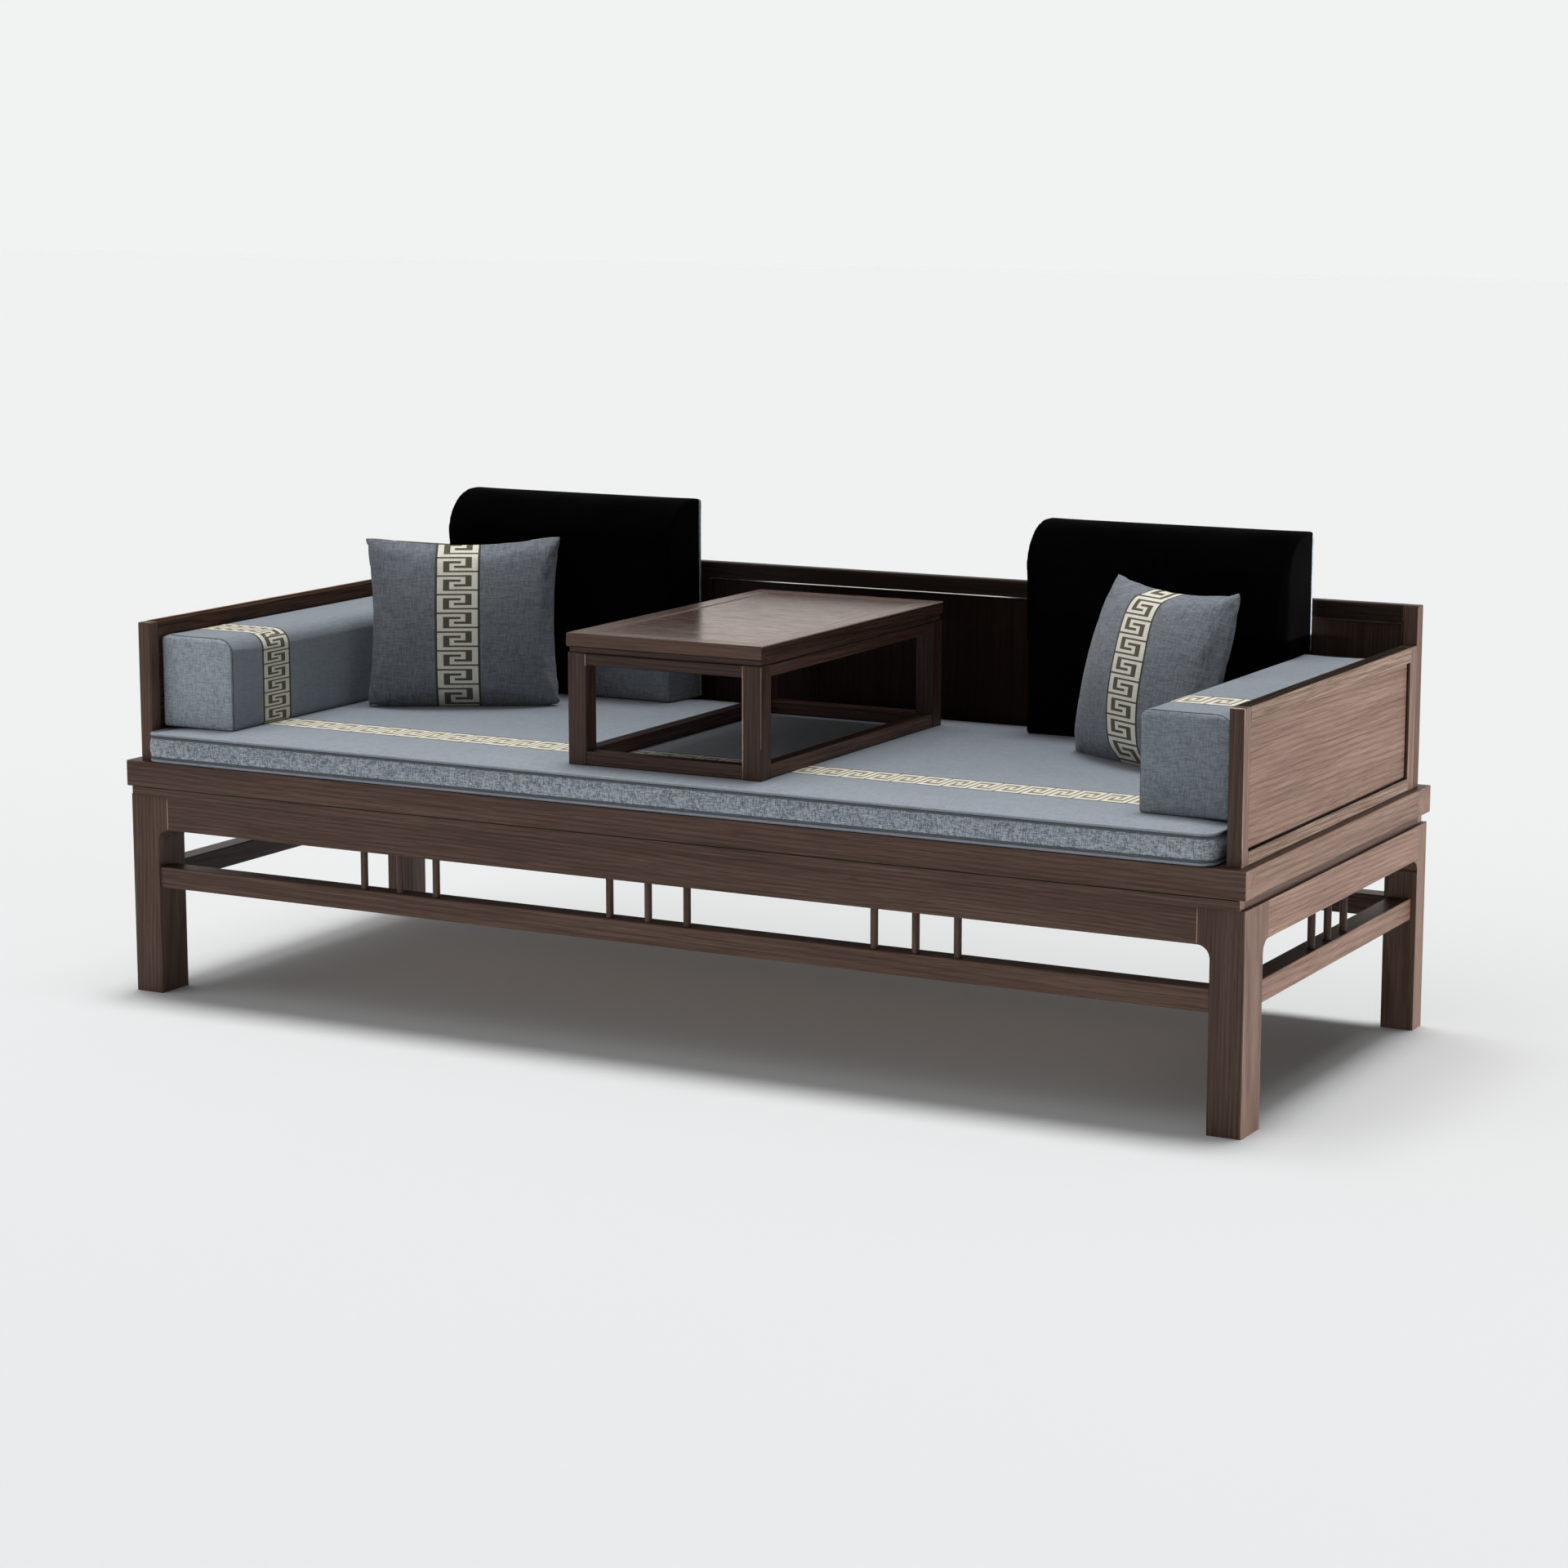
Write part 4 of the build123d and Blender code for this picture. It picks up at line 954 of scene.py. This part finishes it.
# %% [markdown]
# ## The mattress
#
# The mattress is thin and firm: a box with a smooth top, flecked boxing round its sides, and a
# piped seam at both edges. It could be blown up as cloth like the cushions, but it is too long,
# flat and firm for that to add anything. So its shape is a formula: a stack of rings that bulge
# between the seams, and panels that crown a little.

# %% mattress form
mattress_low, mattress_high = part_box("mattress")
SEAM_UP, CROWN, SAG = 0.0022, 0.0066, 0.0018


def outward_of(plan):
    """Directions that point out of the plan: away from the same rectangle, 30 mm smaller."""
    away = plan - np.clip(plan, (mattress_low.x + 0.03, mattress_low.y + 0.03),
                          (mattress_high.x - 0.03, mattress_high.y - 0.03))
    return away / (np.linalg.norm(away, axis=1, keepdims=True) + 1e-9)


def mattress_form():
    """A rounded rectangle in plan, carried up in rings.

    A ring is the plan moved outwards by bulge * sin(pi * t), where t runs from 0 at the bottom
    seam to 1 at the top seam. Above and below, rings shrink by a factor s towards the middle of
    the panel, which crowns by CROWN * (1 - s^24) on top and sags by SAG * (1 - s^8) below."""
    plan = rounded_profile((mattress_low.x - 0.004, mattress_low.y + 0.003),
                           (mattress_high.x - 0.006, mattress_high.y - 0.003),
                           (0.012, 0.020, 0.016, 0.016))
    dense = []
    for here, after in zip(plan, np.roll(plan, -1, 0)):
        count = max(1, int(np.linalg.norm(after - here) / 0.02))
        dense.append(here + (after - here) * (np.arange(count) / count)[:, None])
    plan = np.vstack(dense)
    middle, outward = plan.mean(0), outward_of(plan)
    side = np.linspace(0, 1, 11)
    bulge = 0.005 * np.sin(math.pi * side)
    panel = np.concatenate([np.geomspace(0.02, 0.7, 22),
                            [0.8, 0.87, 0.91, 0.94, 0.965, 0.98, 0.99, 0.996]])
    low, high = mattress_low.z + SEAM_UP, mattress_high.z - CROWN
    inner = [middle + (plan - middle) * s for s in panel]
    rings = inner + [plan + outward * b for b in bulge] + inner[::-1]
    heights = np.concatenate([low - SAG * (1 - panel ** 8), low + (high - low) * side,
                              high + CROWN * (1 - panel[::-1] ** 24)])
    points = np.zeros((len(rings), len(plan), 3))
    points[:, :, :2] = np.array(rings)
    points[:, :, 2] = heights[:, None]
    return points, plan, low, high


mattress_rings, mattress_plan, seam_low, seam_high = mattress_form()
mattress_cover = loft("mattress_cover", mattress_rings, flipped=True)
normals = unfolded(mattress_cover)
boxing = (np.abs(normals[:, 2]) < 0.6).astype(int)
mattress_cover.data.polygons.foreach_set("material_index", boxing)
# The top is painted lighter at the front and darker towards the back, in painted shade.
mattress_linen = linen("linen_mattress_top", SMOOTH, painted_shade=(-0.40, 0.30, 1.10, 0.55),
                       band=Band(1, -0.220, 0.066, 0.074, 0.0437, phase=0.5, hooks=BAND_FADED))
mattress_boxing = linen("linen_mattress_boxing", COARSE)
dressed(mattress_cover, "mattress_pad", "linen", [mattress_linen, mattress_boxing], "mattress")
print("mattress:", len(mattress_cover.data.polygons), "faces")

# %% mattress piping
piping_linen = linen("linen_piping", SMOOTH, tone=1.18)
seam_line = linen("linen_seam", FINE, tone=0.30)
# A dark linen paints the shadow in the groove beside each piping.
piping_shadow_line = linen("linen_painted_piping_shadow", FINE, tone=0.42)


def around(height, out):
    """The plan of the mattress at a height, moved outwards by out."""
    return np.column_stack([mattress_plan + outward_of(mattress_plan) * out,
                            np.full(len(mattress_plan), height)])


for label, height, side in (("low", seam_low + 0.0006, 1), ("high", seam_high - 0.0004, -1)):
    cord = tube(f"mattress_piping_{label}", around(height, 0.0012), 0.0027)
    dressed(cord, "mattress_pad", "linen", [piping_linen])
    # This cord paints the shadow in the groove beside the piping.
    piping_shadow = tube(f"mattress_piping_shadow_{label}", around(height + side * 0.0050, 0.0010), 0.0024)
    dressed(piping_shadow, "mattress_pad", "linen", [piping_shadow_line])
print("mattress piping laid at", round(seam_low, 4), "and", round(seam_high, 4))

# %% [markdown]
# ## The bolsters
#
# A bolster of this kind is a box cushion lying along the arm: a body panel wrapped round a firm
# filling, and two flat end panels set in with a seam. Its corners differ, with one fuller
# shoulder, so it is carried as a profile and not cut from a box with one bevel. The seams are
# cords laid on the finished cover, because evening out the mesh would wipe them away.

# %% two bolsters
proud = 0.003


def bolster(node, band_middle, pitch, hooks, end_painted_light):
    """A rounded profile carried along y, blown up and pressed against its neighbours."""
    low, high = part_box(node)
    name, body = f"{node}_cover", f"{node}_body"
    profile = rounded_profile((low.x - proud, low.z - proud), (high.x + proud, high.z + proud),
                              (0.007, 0.007, 0.026, 0.012))
    piece = stuffed_bar(name, profile, (low.y - proud, high.y + proud), 1)
    evened(piece, 0.005)
    blown_up(piece, 4.0, 0.0025)
    smoothed(piece)
    pressed(piece, (low.x, low.y - 0.002, low.z), (high.x + 0.001, high.y + 0.002, high.z + 0.002))
    normals = unfolded(piece, top_swapped=True)
    piece.data.polygons.foreach_set("material_index", (np.abs(normals[:, 1]) > 0.72).astype(int))
    band = Band(0, band_middle, 0.070, 0.079, pitch, hooks=hooks)
    body_linen = linen(f"linen_{name}", SMOOTH, band, tone=0.91)
    end_linen = linen(f"linen_{name}_end", END, tone=end_painted_light)
    dressed(piece, body, "linen", [body_linen, end_linen], node)
    for label, y in (("front", low.y + 0.002), ("back", high.y - 0.002)):
        loop = np.column_stack([profile[:, 0], np.full(len(profile), y), profile[:, 1]])
        seam = tube(f"{name}_seam_{label}", laid_on(piece, loop), 0.0009, sides=6, up=(0, 1, 0))
        dressed(seam, body, "linen", [seam_line])
    return piece


# The left bolster's end panel is painted lighter and the right one's darker, for the light from the
# front left.
bolster_left = bolster("bolster_left", -0.2255, 0.0244, BAND_DARK, 1.25)
bolster_right = bolster("bolster_right", -0.195, 0.0488, BAND_FADED, 0.80)
print("bolsters:", len(bolster_left.data.polygons), len(bolster_right.data.polygons), "faces")

# %% [markdown]
# ## The back cushions
#
# Each back cushion is a thick box with a broad roll at the top of its front. Its cover is near
# black, so what the eye reads is its outline: the roll, the crowned front and the soft corners.
# The roll is part of the profile. Above the bolsters the filling has room and stands out a little
# further, and the finished cover is moved there, because cloth alone would not know of them.

# %% two back cushions
def back_cushion(node, reach, splay, corner):
    """A profile with one large round, carried along x. The last few millimetres at the back are
    the linen back panel. reach is how far the cushion stands out to the left and the right of its
    solid, above the bolsters, and splay how much further its right side leans out at the back.
    corner = (x, height) leaves the lower right corner in linen, where the pile is cut away; that
    linen is a darker copy, painted shade."""
    low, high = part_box(node)
    profile = rounded_profile((low.y - proud, low.z - proud), (high.y + proud, high.z + proud),
                              (0.007, 0.006, 0.006, 0.080), 14)
    ends = (low.x - reach[0] - proud, high.x + reach[1] + proud)
    piece = stuffed_bar(f"{node}_cover", profile, ends, 0)
    evened(piece, 0.005)
    blown_up(piece, 4.0, 0.003)
    smoothed(piece)
    pressed(piece, (low.x - reach[0], low.y - 0.004, low.z),
            (high.x + reach[1], high.y, high.z + 0.002))
    points = points_of(piece)
    rightward = np.clip((points[:, 0] - high.x + 0.06) / 0.06, 0, 1)
    points[:, 0] += splay * rightward * (points[:, 1] - low.y) / (high.y - low.y)
    beside = points[:, 2] < bolster_top
    points[beside, 0] = np.clip(points[beside, 0], low.x, high.x + (0.02 if corner else 0.0))
    move_points(piece, points)
    unfolded(piece)
    x, y, z = read(piece.data.polygons, "center", 3).T
    bare = (y > high.y - 0.008).astype(int)
    if corner:
        cut_away = (x - corner[0] > (z - low.z) * 0.5) & (z < corner[1])
        bare[cut_away & (bare == 0)] = 2
    piece.data.polygons.foreach_set("material_index", bare)
    dressed(piece, f"{node}_body", "velvet", [pile_cover, back_linen, shaded_corner_linen], node)
    return piece


bolster_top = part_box("bolster_left")[1].z + 0.003
back_linen = linen("linen_cushion_back", FINE)
# The corner's linen is the back linen at half tone, painted shade.
shaded_corner_linen = linen("linen_cushion_corner_painted_shade", FINE, tone=0.5)
pile_cover = velvet("velvet_black")
back_cushion_left = back_cushion("back_cushion_left", (0.004, 0.005), 0.011, (-0.512, 0.545))
back_cushion_right = back_cushion("back_cushion_right", (0.005, 0.008), 0.004, None)
print("back cushions:", len(back_cushion_left.data.polygons), "and",
      len(back_cushion_right.data.polygons), "faces")

# %% [markdown]
# ## The scatter pillows
#
# A scatter pillow is two square panels sewn at their edges. The filling pulls the middle of each
# side in and leaves the corners standing out as ears. As a surface: the panel's half thickness is
# a product of two falling curves, one for each direction, and the outline bends in by a parabola.
# Two flat squares could be blown up to the same end, but then chance would set their size.

# %% two scatter pillows
def pillow_form(width, height, depths, pull):
    """Front and back panel on one closed grid.

    With u and v from -1 to 1, the outline is x = width / 2 * u * (1 - pull * (1 - v^2) * |u|^3),
    and the same for y. blunt draws the four tips in a little. Each panel stands off by its depth
    times ((1 - u^2) * (1 - v^2)) ^ 0.7, thin at the seams and full in the middle. pull holds the
    shares of the sides, the top and the bottom, which its weight keeps straighter."""
    side = np.sin(np.linspace(-math.pi / 2, math.pi / 2, 41))
    u, v = np.meshgrid(side, side, indexing="ij")
    x = width / 2 * u * (1 - pull[0] * (1 - v ** 2) * np.abs(u) ** 3)
    y = height / 2 * v * (1 - np.where(v < 0, pull[2], pull[1]) * (1 - u ** 2) * np.abs(v) ** 3)
    blunt = 1 - 0.035 * np.abs(u * v) ** 8
    x, y = x * blunt, y * blunt
    full = np.clip((1 - u ** 2) * (1 - v ** 2), 0, 1) ** 0.7
    front = np.stack([x, y, depths[0] * full + 0.0018], -1).reshape(-1, 3)
    back = np.stack([x, y, -depths[1] * full - 0.0018], -1).reshape(-1, 3)
    count = len(side)
    quads = grid_faces(count, count, closed=False)
    rim = np.concatenate([np.arange(count) * count, (count - 1) * count + np.arange(1, count),
                          (count - 1 - np.arange(1, count)) * count + count - 1,
                          count - 1 - np.arange(1, count - 1)])
    after = np.roll(rim, -1)
    offset = count * count
    walls = np.stack([rim, after, after + offset, rim + offset], 1)
    faces = list(quads) + list(quads[:, ::-1] + offset) + list(walls[:, ::-1])
    return np.vstack([front, back]), faces


def pillow(node, size, middle, turn, lean, depths, pull, band, tone):
    """The form in its own upright frame, then turned, leaned and set on the mattress."""
    low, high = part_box(node)
    points, faces = pillow_form(*size, depths, pull)
    place = (Matrix.Translation(Vector(middle)) @ Matrix.Rotation(math.radians(turn), 4, "Z")
             @ Matrix.Rotation(math.radians(90 - lean), 4, "X"))
    points = points @ np.array(place.to_3x3()).T + np.array(middle)
    piece = mesh_piece(f"{node}_cover", points, faces)
    evened(piece, 0.005)
    blown_up(piece, 5.0, 0.008)
    smoothed(piece)
    fitted(piece, *size, place)
    room = 0.03
    pressed(piece, (low.x - room, low.y - room, low.z),
            (high.x + room, high.y + room, high.z + room))
    unfolded(piece, frame_of=place, one_way=True)
    dressed(piece, f"{node}_body", "linen", [linen(f"linen_{node}_cover", FINE, band, tone)], node)
    return piece


pillow_left = pillow(
    "pillow_left", size=(0.336, 0.294), middle=(-0.648, 0.0895, 0.594), turn=30, lean=10,
    depths=(0.050, 0.044), pull=(0.075, 0.11, 0.0),
    band=Band(0, -0.007, 0.070, 0.078, 0.0323, flip=1), tone=0.62)
pillow_right = pillow(
    "pillow_right", size=(0.320, 0.296), middle=(0.645, 0.1047, 0.5890), turn=-30, lean=16,
    depths=(0.062, 0.040), pull=(0.012, 0.11, 0.0),
    band=Band(0, -0.009, 0.070, 0.078, 0.0323, bow=(0.021, -0.070, 0.175)), tone=0.66)
print("pillows:", len(pillow_left.data.polygons), len(pillow_right.data.polygons), "faces")

# %% [markdown]
# ## Soft pieces with meshes of their own
#
# When the right bolster is lifted out alone, it passes the side of the back cushion and a corner
# of the pillow, which stand out over it by up to 12 mm. Real filling gives way there. Here each
# of the two is only given a mesh of its own.

# %% cushion and pillow get meshes of their own
for piece, share_kept in ((back_cushion_right, 0.968), (pillow_right, 0.98)):
    left_side = points_of(piece)[:, 0].min()
    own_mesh(piece)
    print(piece.name, "keeps", share_kept, "of its width beside the lifted bolster")

# %% [markdown]
# ## Floor, light and camera
#
# The set is a plain pale floor under soft light. Three far lamps stand nearly overhead and keep
# the shadow short in front of the bed, a wide one comes from the front left, and the sky fills
# in. Lamps that are far away light the whole floor evenly, so that it can run into the
# background. A low lamp from the right reaches only the pieces that end there, and a weak one
# under the seat only the floor: a lamp's receiver collection names what it may light.

# %% floor
def pale_floor():
    """A flat grid 60 m wide at z = 0."""
    place = np.linspace(-30.0, 30.0, 5)
    x, y = np.meshgrid(place, place, indexing="ij")
    points = np.stack([x, y, np.zeros_like(x)], -1).reshape(-1, 3)
    return mesh_piece("floor", points, grid_faces(5, 5, closed=False), smooth=False)


floor = pale_floor()
material, tree, shader = blank_material("pale_floor")
_, floor_y, _ = parts_of(tree, place_on(tree))
join(tree, tint(tree, spread(tree, floor_y, -2.6, 1.6), (0.655, 0.667, 0.680, 1),
                (0.705, 0.718, 0.716, 1)), shader["Base Color"])
shader["Roughness"].default_value = 0.9
shader["Specular IOR Level"].default_value = 0.1
floor.data.materials.append(material)
print("floor laid")

# %% lamps
def hung(lamp, place=(0, 0, 0), receivers=()):
    """Hangs a lamp in the set. If it has receivers, it lights nothing else."""
    piece = bpy.data.objects.new(lamp.name, lamp)
    piece.location = place
    bpy.context.scene.collection.objects.link(piece)
    if receivers:
        lit = bpy.data.collections.new(f"lit_by_{lamp.name}")
        for receiver in receivers:
            lit.objects.link(receiver)
        piece.light_linking.receiver_collection = lit
    return piece


def far_lamp(name, aim, strength, angle):
    """A lamp so far away that its light is parallel, and angle degrees wide. aim points to it.

    It is soft light from a whole ceiling, so it makes no highlight of its own on polished wood."""
    lamp = bpy.data.lights.new(name, "SUN")
    lamp.energy, lamp.angle = strength, math.radians(angle)
    piece = hung(lamp)
    piece.rotation_euler = Vector(aim).to_track_quat("Z", "Y").to_euler()
    piece.visible_glossy = False


far_lamp("overhead", (0.0, 0.155, 1.0), 2.02, 16)
far_lamp("left_high", (-0.33, 0.155, 1.0), 0.58, 17)
far_lamp("front_left", (-0.45, -0.62, 0.75), 0.44, 60)
far_lamp("right_high", (0.26, 0.155, 1.0), 0.30, 17)

low_lamp = bpy.data.lights.new("side_right", "POINT")
low_lamp.energy, low_lamp.shadow_soft_size = 15200.0, 0.25
inside = ("spindles", "seat_panel", "seat_battens")
at_the_right = [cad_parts[name] for names in BED_ALONG.values() for name in names
                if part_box(name)[1].x > 0.94 and name not in inside]
hung(low_lamp, (12.0, -0.35, 0.1), at_the_right + [back_cushion_right])

bounce = bpy.data.lights.new("bounce", "AREA")
bounce.shape, bounce.size, bounce.size_y = "RECTANGLE", 1.6, 0.5
bounce.energy, bounce.color = 0.26, (1.0, 0.84, 0.75)
bounce_lamp = hung(bounce, (0.0, 0.0, 0.16), [floor])
bounce_lamp.visible_camera = bounce_lamp.visible_glossy = False
print("six lamps; the low one reaches", len(at_the_right) + 1, "pieces")

# %% sky
world = bpy.data.worlds.new("sky")
bpy.context.scene.world = world
world.use_nodes = True
sky = world.node_tree
sky.nodes.clear()
fill = sky.nodes.new("ShaderNodeBackground")
fill.inputs[0].default_value = (1.0, 1.0, 1.0, 1)
# The sky is brighter on the left and in front, and never quite dark.
sky_x, sky_y, _ = parts_of(sky, sky.nodes.new("ShaderNodeTexCoord").outputs["Generated"])
sky_level = calc(sky, "ADD", calc(sky, "MULTIPLY_ADD", sky_x, -0.19, 0.24),
                 calc(sky, "MULTIPLY", sky_y, -0.05))
join(sky, calc(sky, "MAXIMUM", sky_level, 0.02), fill.inputs[1])
# What the camera sees behind the set is a plain pale colour, and a warmer one in reflections.
backdrop = sky.nodes.new("ShaderNodeBackground")
path = sky.nodes.new("ShaderNodeLightPath").outputs
join(sky, tint(sky, path["Is Glossy Ray"], (0.875, 0.896, 0.892, 1), (0.88, 0.81, 0.76, 1)),
     backdrop.inputs[0])
backdrop.inputs[1].default_value = 1.0
seen = calc(sky, "MAXIMUM", calc(sky, "MAXIMUM", path["Is Camera Ray"], path["Is Glossy Ray"]),
            path["Is Transmission Ray"])
mixer = sky.nodes.new("ShaderNodeMixShader")
join(sky, seen, mixer.inputs[0])
join(sky, fill.outputs[0], mixer.inputs[1])
join(sky, backdrop.outputs[0], mixer.inputs[2])
join(sky, mixer.outputs[0], sky.nodes.new("ShaderNodeOutputWorld").inputs[0])
print("sky:", len(sky.nodes), "nodes")

# %% camera
lens = bpy.data.cameras.new("camera")
lens.sensor_width, lens.lens = 36.0, 84.95
lens.clip_start, lens.clip_end = 0.1, 200.0
camera = bpy.data.objects.new("camera", lens)
camera.location = (2.8785, -5.2549, 1.4359)
camera.rotation_euler = (math.radians(90 - 10.028), 0.0, math.radians(28.428))
bpy.context.scene.collection.objects.link(camera)
bpy.context.scene.camera = camera
bpy.context.scene.view_settings.view_transform = "Standard"
print("camera at", tuple(camera.location))
